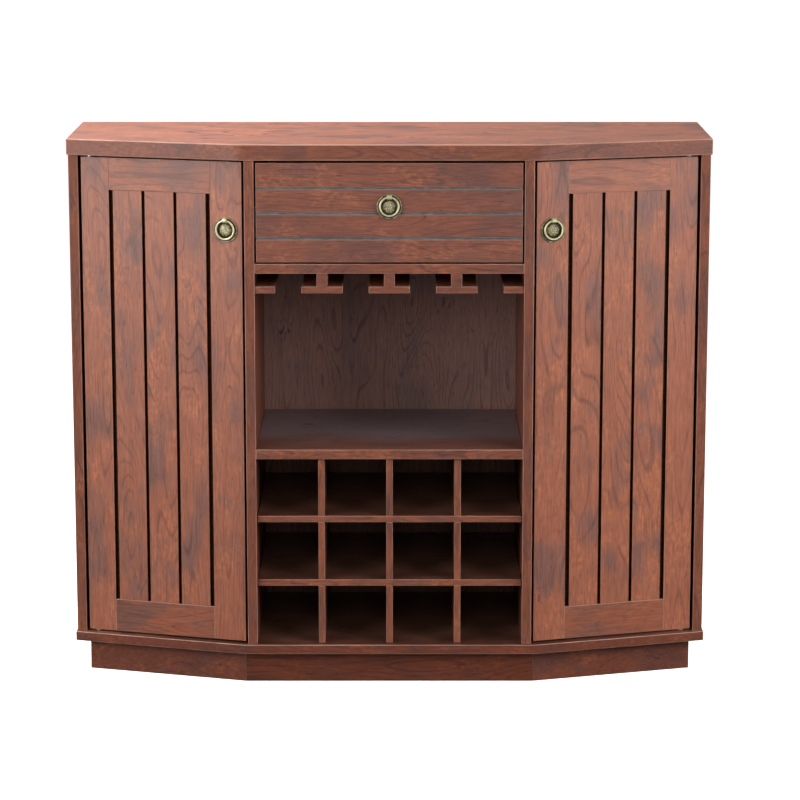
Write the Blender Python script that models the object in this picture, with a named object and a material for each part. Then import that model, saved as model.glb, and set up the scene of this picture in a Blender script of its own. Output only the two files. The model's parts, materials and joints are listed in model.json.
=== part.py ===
"""Bar sideboard with clipped front corners.

Two angled doors stand on either side of a drawer, a rack for stem glasses, an open niche and a
rack for twelve bottles. Metres, +Z up. The front faces -Y, +X is on the right of someone who
stands in front, and the origin is on the floor under the middle of the whole piece.
"""

import math
from collections import namedtuple

import bmesh
import bpy
from mathutils import Vector

# Clearances and cuts
FIT = 0.0003
OVERRUN = 0.002

# Overall size, and the outline of the top and the base, seen from above
WIDTH = 1.200
DEPTH = 0.400
HEIGHT = 1.022
FRONT_WIDTH = 0.550
CLIP_DEPTH = 0.0965

# Boards
TOP_THICKNESS = 0.030
BOARD = 0.018
BACK_BOARD = 0.005
RABBET_WIDTH = 0.009
SIDE_OVERHANG = 0.003
SIDE_SETBACK = 0.002
BACK_OVERHANG = 0.002
FACE_SETBACK = 0.006

# Plinth
PLINTH_HEIGHT = 0.060
PLINTH_INSET = 0.026

# Centre bay: the niche takes what the bottle rack below and the drawer above leave of the height
CENTRE_OPENING = 0.4965
RACK_BOARD = 0.012
RACK_SETBACK = 0.010
RACK_CLEARANCE = 0.0015
BOTTLE_CELL_HEIGHT = 0.1107
BOTTLE_ROWS = 3
DRAWER_SPACE_HEIGHT = 0.191

# Rack for stem glasses, under the shelf of the drawer
STEM_SETBACK = 0.003
STEM_LENGTH = 0.300
STEM_WEB_WIDTH = 0.020
STEM_WEB_HEIGHT = 0.0245
STEM_FLANGE_WIDTH = 0.076
STEM_FLANGE = 0.0125
STEM_PITCH = 0.124
STEM_STRIP_WIDTH = 0.0375

# Drawer
DRAWER_SIDE_GAP = 0.0037
DRAWER_TOP_GAP = 0.0048
DRAWER_BOTTOM_GAP = 0.0033
PLANK_PITCH = 0.0464
PLANK_GROOVE_WIDTH = 0.0045
PLANK_GROOVE_DEPTH = 0.004
PLANK_GROOVES = 3
DRAWER_BOARD = 0.012
DRAWER_BOTTOM = 0.006
DRAWER_BOX_LENGTH = 0.350
DRAWER_BOX_HEIGHT = 0.140
DRAWER_BOX_LIFT = 0.015
BOTTOM_GROOVE_LIFT = 0.010
BOTTOM_GROOVE_DEPTH = 0.006

# Drawer runners: a channel on the divider round a smaller channel on the drawer
RUNNER_SPACE = 0.013
RUNNER_HEIGHT = 0.035
RUNNER_SHEET = 0.0015
RUNNER_LIP = 0.0095
RUNNER_PLAY = 0.0005

# Doors
DOOR_SETBACK = 0.0135
DOOR_HINGE_GAP = 0.0054
DOOR_LOCK_GAP = 0.0045
DOOR_END_GAP = 0.004
HINGE_STILE = 0.0545
LOCK_STILE = 0.062
TOP_RAIL = 0.060
BOTTOM_RAIL = 0.062
PANEL_THICKNESS = 0.014
EDGE_GROOVE = 0.008
SLAT_GROOVE = 0.006
PANEL_GROOVE_DEPTH = 0.008
SLATS = 3
CATCH_LENGTH = 0.045
CATCH_DEPTH = 0.016
CATCH_HEIGHT = 0.014
CATCH_INSET = 0.022
INNER_SHELF_SETBACK = 0.025
INNER_SHELF_HEIGHT = 0.520

# Door pivots
PIVOT_INSET = 0.015
PIN_RADIUS = 0.003
PIN_COLLAR_RADIUS = 0.0055
PIN_DOOR_SEAT = 0.014
PIN_BOARD_SEAT = 0.010

# Ring pulls
PLATE_RADIUS = 0.02325
PLATE_FLOOR = 0.0015
RIM_WIDTH = 0.0026
RIM_HEIGHT = 0.003
RIM_EASE = 0.0006
BOSS_RADIUS = 0.0115
BOSS_HEIGHT = 0.0052
RING_RADIUS = 0.0172
WIRE_RADIUS = 0.0018
EYE_RISE = 0.0178
EYE_STANDOFF = 0.006
EYE_WIDTH = 0.009
EYE_WALL = 0.00125
DRAWER_PULL_DROP = 0.080
DOOR_PULL_DROP = 0.126

# Facets
PIN_SIDES = 20
PLATE_SIDES = 36
RING_SIDES = 36
WIRE_SIDES = 10
EYE_SIDES = 20
BOSS_RINGS = 4

# Derived sizes
HALF_WIDTH = WIDTH / 2
CORNER_ANGLE = math.atan2(CLIP_DEPTH, HALF_WIDTH - FRONT_WIDTH / 2)
RING_SAG = RING_RADIUS - math.sqrt(RING_RADIUS**2 - (EYE_WIDTH / 2) ** 2)
EYE_BORE = WIRE_RADIUS + RING_SAG + FIT
EYE_RADIUS = EYE_BORE + EYE_WALL
PULL_PROUD = FIT + EYE_STANDOFF + EYE_RADIUS - FACE_SETBACK

# Depths, from the front to the back
FRONT_Y = (PULL_PROUD - DEPTH) / 2
BACK_Y = FRONT_Y + DEPTH
FACE_Y = FRONT_Y + FACE_SETBACK
CARCASS_BACK_Y = BACK_Y - BACK_OVERHANG
BACK_FACE_Y = CARCASS_BACK_Y - BACK_BOARD
INSIDE_BACK_Y = BACK_FACE_Y - FIT
DRAWER_BOX_Y = FACE_Y + BOARD + FIT

# Widths, from the middle to the right
DIVIDER_X = CENTRE_OPENING / 2
DIVIDER_OUTER_X = DIVIDER_X + BOARD
SIDE_OUTER_X = HALF_WIDTH - SIDE_OVERHANG
SIDE_INNER_X = SIDE_OUTER_X - BOARD
RACK_PITCH = (CENTRE_OPENING + RACK_BOARD) / 4
DRAWER_BOX_X = DIVIDER_X - RUNNER_SPACE

# Heights above the floor
BASE_TOP_Z = PLINTH_HEIGHT + BOARD
RACK_HEIGHT = BOTTLE_ROWS * BOTTLE_CELL_HEIGHT + (BOTTLE_ROWS - 1) * RACK_BOARD
NICHE_SHELF_Z = BASE_TOP_Z + RACK_HEIGHT
TOP_Z = HEIGHT - TOP_THICKNESS
DRAWER_Z = TOP_Z - DRAWER_SPACE_HEIGHT
DRAWER_SHELF_Z = DRAWER_Z - BOARD
DRAWER_BOX_Z = DRAWER_Z + DRAWER_BOX_LIFT
RUNNER_Z = DRAWER_BOX_Z + DRAWER_BOX_HEIGHT / 2
DRAWER_FRONT_TOP_Z = TOP_Z - DRAWER_TOP_GAP
DOOR_BOTTOM_Z = BASE_TOP_Z + DOOR_END_GAP
DOOR_TOP_Z = TOP_Z - DOOR_END_GAP

SIDES = ((-1, "left"), (1, "right"))

Look = namedtuple("Look", "colour roughness metallic")
FRONT_WOOD = Look((0.175, 0.062, 0.037), 0.45, 0.0)
DOOR_WOOD = Look((0.165, 0.066, 0.043), 0.45, 0.0)
EDGE_WOOD = Look((0.135, 0.045, 0.028), 0.5, 0.0)
TOP_WOOD = Look((0.215, 0.085, 0.055), 0.4, 0.0)
DARK_WOOD = Look((0.075, 0.035, 0.025), 0.6, 0.0)
DRAWER_WOOD = Look((0.42, 0.29, 0.18), 0.6, 0.0)
BRASS = Look((0.36, 0.26, 0.12), 0.38, 0.9)
STEEL = Look((0.55, 0.55, 0.53), 0.35, 1.0)
CATCH_BLACK = Look((0.03, 0.03, 0.03), 0.5, 0.0)


def clear_objects():
    """Empties the file before the model is made."""
    for old in list(bpy.data.objects):
        bpy.data.objects.remove(old, do_unlink=True)


def finish(part, look):
    """Gives a part a material of its own with one of the looks."""
    material = bpy.data.materials.new(part.name)
    material.use_nodes = True
    shader = material.node_tree.nodes["Principled BSDF"]
    shader.inputs["Base Color"].default_value = (*look.colour, 1)
    shader.inputs["Roughness"].default_value = look.roughness
    shader.inputs["Metallic"].default_value = look.metallic
    material.diffuse_color = (*look.colour, 1)
    part.data.materials.append(material)


def link(name, mesh, look=None, parent=None, location=(0, 0, 0), angle=0):
    """Puts a mesh in the scene as a named object, turned by angle about +Z."""
    part = bpy.data.objects.new(name, mesh)
    bpy.context.scene.collection.objects.link(part)
    part.parent = parent
    part.location = location
    part.rotation_euler.z = angle
    if look:
        finish(part, look)
    return part


def axis_empty(name, location, angle=0, parent=None):
    """An empty that stands on a moving piece's axis and carries its parts."""
    empty = link(name, None, parent=parent, location=location, angle=angle)
    empty.empty_display_size = PLATE_RADIUS
    return empty


def closed_mesh(name, shape, smooth=False):
    """Turns a finished bmesh into a mesh whose faces point out."""
    bmesh.ops.recalc_face_normals(shape, faces=shape.faces)
    mesh = bpy.data.meshes.new(name)
    shape.to_mesh(mesh)
    shape.free()
    if smooth:
        mesh.shade_smooth()
        mesh.set_sharp_from_angle(angle=math.radians(35))
    return mesh


def prism_mesh(name, outline, axis, low, high):
    """Extrudes an outline, drawn square to an axis, from low to high along that axis."""
    order = "XYZ".index(axis)
    shape = bmesh.new()
    corners = []
    for point in outline:
        corner = list(point)
        corner.insert(order, low)
        corners.append(shape.verts.new(corner))
    face = shape.faces.new(corners)
    swept = bmesh.ops.extrude_face_region(shape, geom=[face])["geom"]
    far_end = [item for item in swept if isinstance(item, bmesh.types.BMVert)]
    travel = [0, 0, 0]
    travel[order] = high - low
    bmesh.ops.translate(shape, verts=far_end, vec=travel)
    return closed_mesh(name, shape)


def prism(name, outline, axis, span, look, **place):
    """A board or bar of constant section as an object."""
    return link(name, prism_mesh(name, outline, axis, *span), look, **place)


def board(name, x, y, z, look, **place):
    """A square-edged board between the low and high values of x, y and z."""
    outline = [(x[0], y[0]), (x[1], y[0]), (x[1], y[1]), (x[0], y[1])]
    return prism(name, outline, "Z", z, look, **place)


def turned_mesh(name, profile, axis, sides):
    """Turns a profile of (radius, height) points about an axis through the origin."""
    axis = Vector(axis)
    radial = Vector((1, 0, 0))
    shape = bmesh.new()
    points = [shape.verts.new(radial * radius + axis * height) for radius, height in profile]
    edges = [shape.edges.new(pair) for pair in zip(points, points[1:])]
    bmesh.ops.spin(
        shape, geom=points + edges, cent=(0, 0, 0), axis=axis, steps=sides, angle=math.tau,
        use_merge=True,
    )
    bmesh.ops.remove_doubles(shape, verts=shape.verts, dist=FIT / 10)
    return closed_mesh(name, shape, smooth=True)


def cutter(name, mesh, **place):
    """A guide shape for a Boolean, left out of the model."""
    tool = link(name, mesh, **place)
    tool.hide_render = True
    tool.display_type = "WIRE"
    return tool


def combine(part, tool, operation):
    """Adds an exact Boolean with a guide shape to a part."""
    modifier = part.modifiers.new(tool.name, "BOOLEAN")
    modifier.operation = operation
    modifier.solver = "EXACT"
    modifier.object = tool


def mirrored(side, outline):
    """An outline of (x, y) points on the right, or its mirror image on the left."""
    return [(side * x, y) for x, y in outline]


def span(side, near, far):
    """The low and high x of a piece between two distances from the middle, on one side."""
    return (near, far) if side > 0 else (-far, -near)


def clipped_y(x, inset=0.0):
    """Depth at x of the line that runs inset behind the right clipped edge of the top."""
    edge = FRONT_Y + CLIP_DEPTH - (HALF_WIDTH - x) * math.tan(CORNER_ANGLE)
    return edge + inset / math.cos(CORNER_ANGLE)


def clipped_x(y, inset=0.0):
    """Where the line that runs inset behind the right clipped edge reaches the depth y."""
    back = FRONT_Y + CLIP_DEPTH + inset / math.cos(CORNER_ANGLE)
    return HALF_WIDTH - (back - y) / math.tan(CORNER_ANGLE)


def clipped_outline(inset=0.0):
    """The six corners of the clipped outline, moved in by inset, from the back left round the front."""
    side_x = HALF_WIDTH - inset
    front_y = FRONT_Y + inset
    right = [
        (clipped_x(front_y, inset), front_y),
        (side_x, clipped_y(side_x, inset)),
        (side_x, BACK_Y - inset),
    ]
    return mirrored(-1, right[::-1]) + right


def build_top_and_base():
    """The thick top and the base board share one outline; each has two holes for the door pins."""
    top = prism("top_panel", clipped_outline(), "Z", (TOP_Z, HEIGHT), TOP_WOOD)
    base = prism("base_panel", clipped_outline(), "Z", (PLINTH_HEIGHT, BASE_TOP_Z), EDGE_WOOD)
    hole_depth = PIN_BOARD_SEAT + FIT
    for side, word in SIDES:
        x, y = pivot_place(side)
        for panel, low, high in (
            (top, TOP_Z - OVERRUN, TOP_Z + hole_depth),
            (base, BASE_TOP_Z - hole_depth, BASE_TOP_Z + OVERRUN),
        ):
            profile = rod_profile(PIN_RADIUS + FIT, low, high)
            name = f"{word}_{panel.name}_pin_hole"
            mesh = turned_mesh(name, profile, (0, 0, 1), PIN_SIDES)
            combine(panel, cutter(name, mesh, location=(x, y, 0)), "DIFFERENCE")


def rod_profile(radius, low, high):
    """The profile of a plain round rod along the axis."""
    return [(0, low), (radius, low), (radius, high), (0, high)]


def build_plinth():
    """Six mitred boards, set back under the base."""
    names = ("left_side", "left_angle", "front", "right_angle", "right_side", "back")
    outer = [Vector(corner) for corner in clipped_outline(PLINTH_INSET)]
    inner = [Vector(corner) for corner in clipped_outline(PLINTH_INSET + BOARD)]
    for index, name in enumerate(names):
        after = (index + 1) % len(names)
        relief = (outer[after] - outer[index]).normalized() * FIT
        outline = [
            outer[index] + relief,
            outer[after] - relief,
            inner[after] - relief,
            inner[index] + relief,
        ]
        prism(f"plinth_{name}", outline, "Z", (0, PLINTH_HEIGHT - FIT), EDGE_WOOD)


def build_uprights():
    """Side panels, rabbeted for the back, and the dividers of the centre bay."""
    height = (BASE_TOP_Z + FIT, TOP_Z - FIT)
    side_front_y = FRONT_Y + CLIP_DEPTH + SIDE_SETBACK
    rabbet_x = SIDE_INNER_X + RABBET_WIDTH
    outline = [
        (SIDE_OUTER_X, side_front_y),
        (SIDE_OUTER_X, CARCASS_BACK_Y),
        (rabbet_x, CARCASS_BACK_Y),
        (rabbet_x, INSIDE_BACK_Y),
        (SIDE_INNER_X, INSIDE_BACK_Y),
        (SIDE_INNER_X, side_front_y),
    ]
    for side, word in SIDES:
        prism(f"{word}_side_panel", mirrored(side, outline), "Z", height, EDGE_WOOD)
        x = span(side, DIVIDER_X, DIVIDER_OUTER_X)
        board(f"{word}_divider", x, (FACE_Y, INSIDE_BACK_Y), height, FRONT_WOOD)


def build_back():
    """Three back boards that meet behind the dividers."""
    height = (BASE_TOP_Z + FIT, TOP_Z - FIT)
    depth = (BACK_FACE_Y, CARCASS_BACK_Y)
    seam_x = DIVIDER_X + BOARD / 2
    rabbet_x = SIDE_INNER_X + RABBET_WIDTH
    board("centre_back_panel", (FIT - seam_x, seam_x - FIT), depth, height, DARK_WOOD)
    for side, word in SIDES:
        board(f"{word}_back_panel", span(side, seam_x, rabbet_x - FIT), depth, height, DARK_WOOD)


def build_centre_shelves():
    """The shelf that carries the drawer and the floor of the niche."""
    x = (FIT - DIVIDER_X, DIVIDER_X - FIT)
    depth = (FACE_Y, INSIDE_BACK_Y)
    for name, low in (("drawer_shelf", DRAWER_SHELF_Z), ("niche_shelf", NICHE_SHELF_Z)):
        board(name, x, depth, (low, low + BOARD), FRONT_WOOD)


def notched(length, notches, edge, depth, far_edge):
    """Outline of a board between two lengths with notches cut from one edge, as (length, depth) points.

    notches are the low and high ends of each cut, edge is where they start and depth where they end.
    """
    outline = [(length[0], far_edge), (length[0], edge)]
    for low, high in notches:
        outline += [(low, edge), (low, depth), (high, depth), (high, edge)]
    return outline + [(length[1], edge), (length[1], far_edge)]


def build_bottle_rack():
    """A loose crate of two shelves and three uprights, halved into each other."""
    front_y = FACE_Y + RACK_SETBACK
    back_y = INSIDE_BACK_Y
    middle_y = (front_y + back_y) / 2
    half_slot = RACK_BOARD / 2 + FIT
    upright_x = (-RACK_PITCH, 0, RACK_PITCH)
    row_pitch = BOTTLE_CELL_HEIGHT + RACK_BOARD
    shelf_z = [BASE_TOP_Z + row_pitch * row - RACK_BOARD / 2 for row in range(1, BOTTLE_ROWS)]
    length = (RACK_CLEARANCE - DIVIDER_X, DIVIDER_X - RACK_CLEARANCE)
    slots = [(x - half_slot, x + half_slot) for x in upright_x]
    for word, z in zip(("lower", "upper"), shelf_z):
        outline = notched(length, slots, back_y, middle_y, front_y)
        depth = (z - RACK_BOARD / 2, z + RACK_BOARD / 2)
        prism(f"rack_shelf_{word}", outline, "Z", depth, FRONT_WOOD)
    height = (BASE_TOP_Z + FIT, NICHE_SHELF_Z - FIT)
    slots = [(z - half_slot, z + half_slot) for z in shelf_z]
    for word, x in zip(("left", "centre", "right"), upright_x):
        outline = notched(height, slots, front_y, middle_y + FIT, back_y)
        outline = [(y, z) for z, y in outline]
        width = (x - RACK_BOARD / 2, x + RACK_BOARD / 2)
        prism(f"rack_upright_{word}", outline, "X", width, FRONT_WOOD)


def build_stem_rack():
    """Three T-shaped rails and two side strips that hold glasses by the foot."""
    depth = (FACE_Y + STEM_SETBACK, FACE_Y + STEM_SETBACK + STEM_LENGTH)
    top_z = DRAWER_SHELF_Z - FIT
    flange_top_z = DRAWER_SHELF_Z - STEM_WEB_HEIGHT
    flange_z = flange_top_z - STEM_FLANGE
    half_web = STEM_WEB_WIDTH / 2
    half_flange = STEM_FLANGE_WIDTH / 2
    for word, x in (("left", -STEM_PITCH), ("centre", 0), ("right", STEM_PITCH)):
        outline = [
            (x - half_web, top_z),
            (x - half_web, flange_top_z),
            (x - half_flange, flange_top_z),
            (x - half_flange, flange_z),
            (x + half_flange, flange_z),
            (x + half_flange, flange_top_z),
            (x + half_web, flange_top_z),
            (x + half_web, top_z),
        ]
        prism(f"stem_rail_{word}", outline, "Y", depth, FRONT_WOOD)
    for side, word in SIDES:
        x = span(side, DIVIDER_X - STEM_STRIP_WIDTH, DIVIDER_X - FIT)
        board(f"stem_strip_{word}", x, depth, (flange_z, flange_top_z), FRONT_WOOD)


def build_inner_shelves():
    """One shelf behind each door, its front edge parallel to the door."""
    inset = DOOR_SETBACK + BOARD + INNER_SHELF_SETBACK
    near_x = DIVIDER_OUTER_X + FIT
    far_x = SIDE_INNER_X - FIT
    outline = [
        (near_x, clipped_y(near_x, inset)),
        (far_x, clipped_y(far_x, inset)),
        (far_x, INSIDE_BACK_Y),
        (near_x, INSIDE_BACK_Y),
    ]
    height = (INNER_SHELF_HEIGHT, INNER_SHELF_HEIGHT + BOARD)
    for side, word in SIDES:
        prism(f"{word}_inner_shelf", mirrored(side, outline), "Z", height, DARK_WOOD)


def channel(web_x, lip_x, half_height):
    """Section of a folded steel channel, as (x, z) points about its middle."""
    toward_lip = math.copysign(RUNNER_SHEET, lip_x - web_x)
    fold_x = web_x + toward_lip
    inner = half_height - RUNNER_SHEET
    return [
        (web_x, -half_height),
        (lip_x, -half_height),
        (lip_x, -inner),
        (fold_x, -inner),
        (fold_x, inner),
        (lip_x, inner),
        (lip_x, half_height),
        (web_x, half_height),
    ]


def build_runners(place):
    """A track on each divider and, inside it, a slide on the drawer."""
    depth = (DRAWER_BOX_Y, DRAWER_BOX_Y + DRAWER_BOX_LENGTH)
    track_x = DIVIDER_X - FIT
    slide_x = DRAWER_BOX_X + FIT
    half_track = RUNNER_HEIGHT / 2
    track = channel(track_x, track_x - RUNNER_LIP, half_track)
    slide = channel(slide_x, slide_x + RUNNER_LIP, half_track - RUNNER_SHEET - RUNNER_PLAY)
    for side, word in SIDES:
        for name, section, where in (("runner_track", track, {}), ("slide", slide, place)):
            outline = [(x, RUNNER_Z + z) for x, z in mirrored(side, section)]
            prism(f"{word}_{name}", outline, "Y", depth, STEEL, **where)


def build_drawer():
    """The drawer, carried by an empty at the middle of its front."""
    middle = Vector((0, FACE_Y, 0))
    drawer = axis_empty("drawer_travel", middle)
    place = {"parent": drawer, "location": -middle}
    build_drawer_front(place)
    build_drawer_box(place)
    build_runners(place)
    build_pull("drawer", drawer, (0, 0, DRAWER_FRONT_TOP_Z - DRAWER_PULL_DROP))


def build_drawer_front(place):
    """Four planks' worth of front in one board, with a groove between each two."""
    grooves = []
    for index in range(PLANK_GROOVES, 0, -1):
        z = DRAWER_FRONT_TOP_Z - PLANK_PITCH * index
        grooves.append((z - PLANK_GROOVE_WIDTH / 2, z + PLANK_GROOVE_WIDTH / 2))
    height = (DRAWER_Z + DRAWER_BOTTOM_GAP, DRAWER_FRONT_TOP_Z)
    outline = notched(height, grooves, FACE_Y, FACE_Y + PLANK_GROOVE_DEPTH, FACE_Y + BOARD)
    outline = [(y, z) for z, y in outline]
    half_width = DIVIDER_X - DRAWER_SIDE_GAP
    prism("drawer_front", outline, "X", (-half_width, half_width), FRONT_WOOD, **place)


def build_drawer_box(place):
    """Two sides grooved for the bottom, the bottom itself, and a back that stands on it."""
    inner_x = DRAWER_BOX_X - DRAWER_BOARD
    groove_x = inner_x + BOTTOM_GROOVE_DEPTH
    groove_z = DRAWER_BOX_Z + BOTTOM_GROOVE_LIFT
    groove_top_z = groove_z + DRAWER_BOTTOM + 2 * FIT
    box_top_z = DRAWER_BOX_Z + DRAWER_BOX_HEIGHT
    depth = (DRAWER_BOX_Y, DRAWER_BOX_Y + DRAWER_BOX_LENGTH)
    outline = [
        (DRAWER_BOX_X, DRAWER_BOX_Z),
        (DRAWER_BOX_X, box_top_z),
        (inner_x, box_top_z),
        (inner_x, groove_top_z),
        (groove_x, groove_top_z),
        (groove_x, groove_z),
        (inner_x, groove_z),
        (inner_x, DRAWER_BOX_Z),
    ]
    for side, word in SIDES:
        prism(f"drawer_{word}_side", mirrored(side, outline), "Y", depth, DRAWER_WOOD, **place)
    bottom_x = (FIT - groove_x, groove_x - FIT)
    bottom_z = (groove_z + FIT, groove_top_z - FIT)
    board("drawer_bottom", bottom_x, depth, bottom_z, DRAWER_WOOD, **place)
    back_x = (FIT - inner_x, inner_x - FIT)
    back_y = (depth[1] - DRAWER_BOARD, depth[1])
    board("drawer_back", back_x, back_y, (groove_top_z, box_top_z), DRAWER_WOOD, **place)


def door_outer_x():
    """Distance from the middle of the doors' outer front edges."""
    return SIDE_INNER_X - DOOR_HINGE_GAP


def door_width():
    """Width of a door along its own face."""
    inner_x = DIVIDER_OUTER_X + DOOR_LOCK_GAP
    return (door_outer_x() - inner_x) / math.cos(CORNER_ANGLE)


def pivot_place(side):
    """Where a door's pivot axis stands, in from its outer edge and at the middle of its thickness."""
    outer_x = door_outer_x()
    half = BOARD / 2
    along_x, along_y = -math.cos(CORNER_ANGLE), -math.sin(CORNER_ANGLE)
    x = outer_x + along_x * PIVOT_INSET + along_y * half
    y = clipped_y(outer_x, DOOR_SETBACK) + along_y * PIVOT_INSET - along_x * half
    return side * x, y


def door_outline(side, points):
    """Points given from a door's outer edge and from its face, set about the pivot axis."""
    return [(side * (PIVOT_INSET - along), back - BOARD / 2) for along, back in points]


def door_bar(side, start, end):
    """The section of a square-edged bar of the door between two distances from its outer edge."""
    return door_outline(side, [(start, 0), (end, 0), (end, BOARD), (start, BOARD)])


def build_door(side, word):
    """Frame, grooved panel, pivot pins and catch of one door, about an empty on its axis."""
    x, y = pivot_place(side)
    axis = axis_empty(f"{word}_door_axis", (x, y, 0), side * CORNER_ANGLE)
    width = door_width()
    lock_start = width - LOCK_STILE
    height = (DOOR_BOTTOM_Z, DOOR_TOP_Z)
    stile = prism(
        f"{word}_hinge_stile", door_bar(side, 0, HINGE_STILE), "Z", height, DOOR_WOOD, parent=axis
    )
    bevelled_end = width - BOARD * math.tan(CORNER_ANGLE)
    bevelled = [(lock_start, 0), (width, 0), (bevelled_end, BOARD), (lock_start, BOARD)]
    outline = door_outline(side, bevelled)
    prism(f"{word}_lock_stile", outline, "Z", height, DOOR_WOOD, parent=axis)
    start = HINGE_STILE + FIT
    end = lock_start - FIT
    panel_z = (DOOR_BOTTOM_Z + BOTTOM_RAIL, DOOR_TOP_Z - TOP_RAIL)
    rail = door_bar(side, start, end)
    prism(f"{word}_top_rail", rail, "Z", (panel_z[1], DOOR_TOP_Z), DOOR_WOOD, parent=axis)
    prism(f"{word}_bottom_rail", rail, "Z", (DOOR_BOTTOM_Z, panel_z[0]), DOOR_WOOD, parent=axis)
    build_door_panel(side, word, start, end, (panel_z[0] + FIT, panel_z[1] - FIT), axis)
    build_pivot_pins(word, stile, axis)
    build_catch(side, word, axis)
    pull_x = side * (PIVOT_INSET - lock_start - LOCK_STILE / 2)
    build_pull(f"{word}_door", axis, (pull_x, -BOARD / 2, DOOR_TOP_Z - DOOR_PULL_DROP))


def build_door_panel(side, word, start, end, height, axis):
    """A flush panel cut into slats by grooves, with half-hidden grooves along both stiles."""
    slat = (end - start - 2 * EDGE_GROOVE - (SLATS - 1) * SLAT_GROOVE) / SLATS
    points = [(start, PANEL_THICKNESS), (start, PANEL_GROOVE_DEPTH)]
    along = start + EDGE_GROOVE
    for _ in range(SLATS):
        points += [
            (along, PANEL_GROOVE_DEPTH),
            (along, 0),
            (along + slat, 0),
            (along + slat, PANEL_GROOVE_DEPTH),
        ]
        along += slat + SLAT_GROOVE
    points += [(end, PANEL_GROOVE_DEPTH), (end, PANEL_THICKNESS)]
    prism(f"{word}_door_panel", door_outline(side, points), "Z", height, DOOR_WOOD, parent=axis)


def build_pivot_pins(word, stile, axis):
    """Shouldered pins in the ends of the hinge stile, that turn in the top and the base."""
    hole_depth = PIN_DOOR_SEAT + FIT
    reach = DOOR_END_GAP + PIN_BOARD_SEAT
    for place, end_z, out in (("upper", DOOR_TOP_Z, 1), ("lower", DOOR_BOTTOM_Z, -1)):
        profile = [
            (0, -PIN_DOOR_SEAT),
            (PIN_RADIUS, -PIN_DOOR_SEAT),
            (PIN_RADIUS, FIT),
            (PIN_COLLAR_RADIUS, FIT),
            (PIN_COLLAR_RADIUS, DOOR_END_GAP - FIT),
            (PIN_RADIUS, DOOR_END_GAP - FIT),
            (PIN_RADIUS, reach),
            (0, reach),
        ]
        name = f"{word}_{place}_pin"
        mesh = turned_mesh(name, profile, (0, 0, out), PIN_SIDES)
        link(name, mesh, STEEL, parent=axis, location=(0, 0, end_z))
        profile = rod_profile(PIN_RADIUS + FIT, -hole_depth, OVERRUN)
        mesh = turned_mesh(f"{name}_hole", profile, (0, 0, out), PIN_SIDES)
        combine(stile, cutter(f"{name}_hole", mesh, parent=axis, location=(0, 0, end_z)), "DIFFERENCE")


def build_catch(side, word, axis):
    """A magnetic catch under the top, just behind the lock stile."""
    end = door_width() - CATCH_INSET
    back = BOARD + FIT
    points = [
        (end - CATCH_LENGTH, back),
        (end, back),
        (end, back + CATCH_DEPTH),
        (end - CATCH_LENGTH, back + CATCH_DEPTH),
    ]
    outline = door_outline(side, points)
    height = (TOP_Z - FIT - CATCH_HEIGHT, TOP_Z - FIT)
    place = {"location": axis.location, "angle": axis.rotation_euler.z}
    prism(f"{word}_catch", outline, "Z", height, CATCH_BLACK, **place)


def plate_profile():
    """Profile of a pull's plate, from the middle of its back, round the rim, to the boss."""
    rim_inner = PLATE_RADIUS - RIM_WIDTH
    points = [
        (0, 0),
        (PLATE_RADIUS, 0),
        (PLATE_RADIUS, RIM_HEIGHT - RIM_EASE),
        (PLATE_RADIUS - RIM_EASE, RIM_HEIGHT),
        (rim_inner + RIM_EASE, RIM_HEIGHT),
        (rim_inner, PLATE_FLOOR),
    ]
    dome = BOSS_HEIGHT - PLATE_FLOOR
    for step in range(BOSS_RINGS + 1):
        turn = math.pi / 2 * step / BOSS_RINGS
        points.append((BOSS_RADIUS * math.cos(turn), PLATE_FLOOR + dome * math.sin(turn)))
    return points[:-1] + [(0, BOSS_HEIGHT)]


def plate_mesh():
    """The plate, the eye on it and the hole through the eye, as one mesh that faces -Y."""
    plate = link("plate", turned_mesh("plate", plate_profile(), (0, -1, 0), PLATE_SIDES))
    outline = [(-PLATE_FLOOR / 2, EYE_RISE - EYE_RADIUS)]
    for step in range(EYE_SIDES // 2 + 1):
        turn = math.pi * step / (EYE_SIDES // 2)
        y = -EYE_STANDOFF - EYE_RADIUS * math.sin(turn)
        outline.append((y, EYE_RISE - EYE_RADIUS * math.cos(turn)))
    outline.append((-PLATE_FLOOR / 2, EYE_RISE + EYE_RADIUS))
    lug = cutter("lug", prism_mesh("lug", outline, "X", -EYE_WIDTH / 2, EYE_WIDTH / 2))
    combine(plate, lug, "UNION")
    profile = rod_profile(EYE_BORE, -EYE_WIDTH / 2 - OVERRUN, EYE_WIDTH / 2 + OVERRUN)
    bore = cutter("bore", turned_mesh("bore", profile, (0, 0, 1), EYE_SIDES))
    bore.rotation_euler.y = math.pi / 2
    bore.location = (0, -EYE_STANDOFF, EYE_RISE)
    combine(plate, bore, "DIFFERENCE")
    shown = plate.evaluated_get(bpy.context.evaluated_depsgraph_get())
    mesh = bpy.data.meshes.new_from_object(shown)
    for guide in (plate, lug, bore):
        bpy.data.objects.remove(guide, do_unlink=True)
    return mesh


def ring_mesh():
    """The swinging ring, hung from the origin at the middle of its wire."""
    shape = bmesh.new()
    section = []
    for step in range(WIRE_SIDES):
        turn = math.tau * step / WIRE_SIDES
        section.append(shape.verts.new((0, WIRE_RADIUS * math.sin(turn), WIRE_RADIUS * math.cos(turn))))
    edges = [shape.edges.new((section[i - 1], section[i])) for i in range(WIRE_SIDES)]
    bmesh.ops.spin(
        shape, geom=section + edges, cent=(0, 0, -RING_RADIUS), axis=(0, 1, 0), steps=RING_SIDES,
        angle=math.tau, use_merge=True,
    )
    return closed_mesh("ring", shape, smooth=True)


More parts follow.
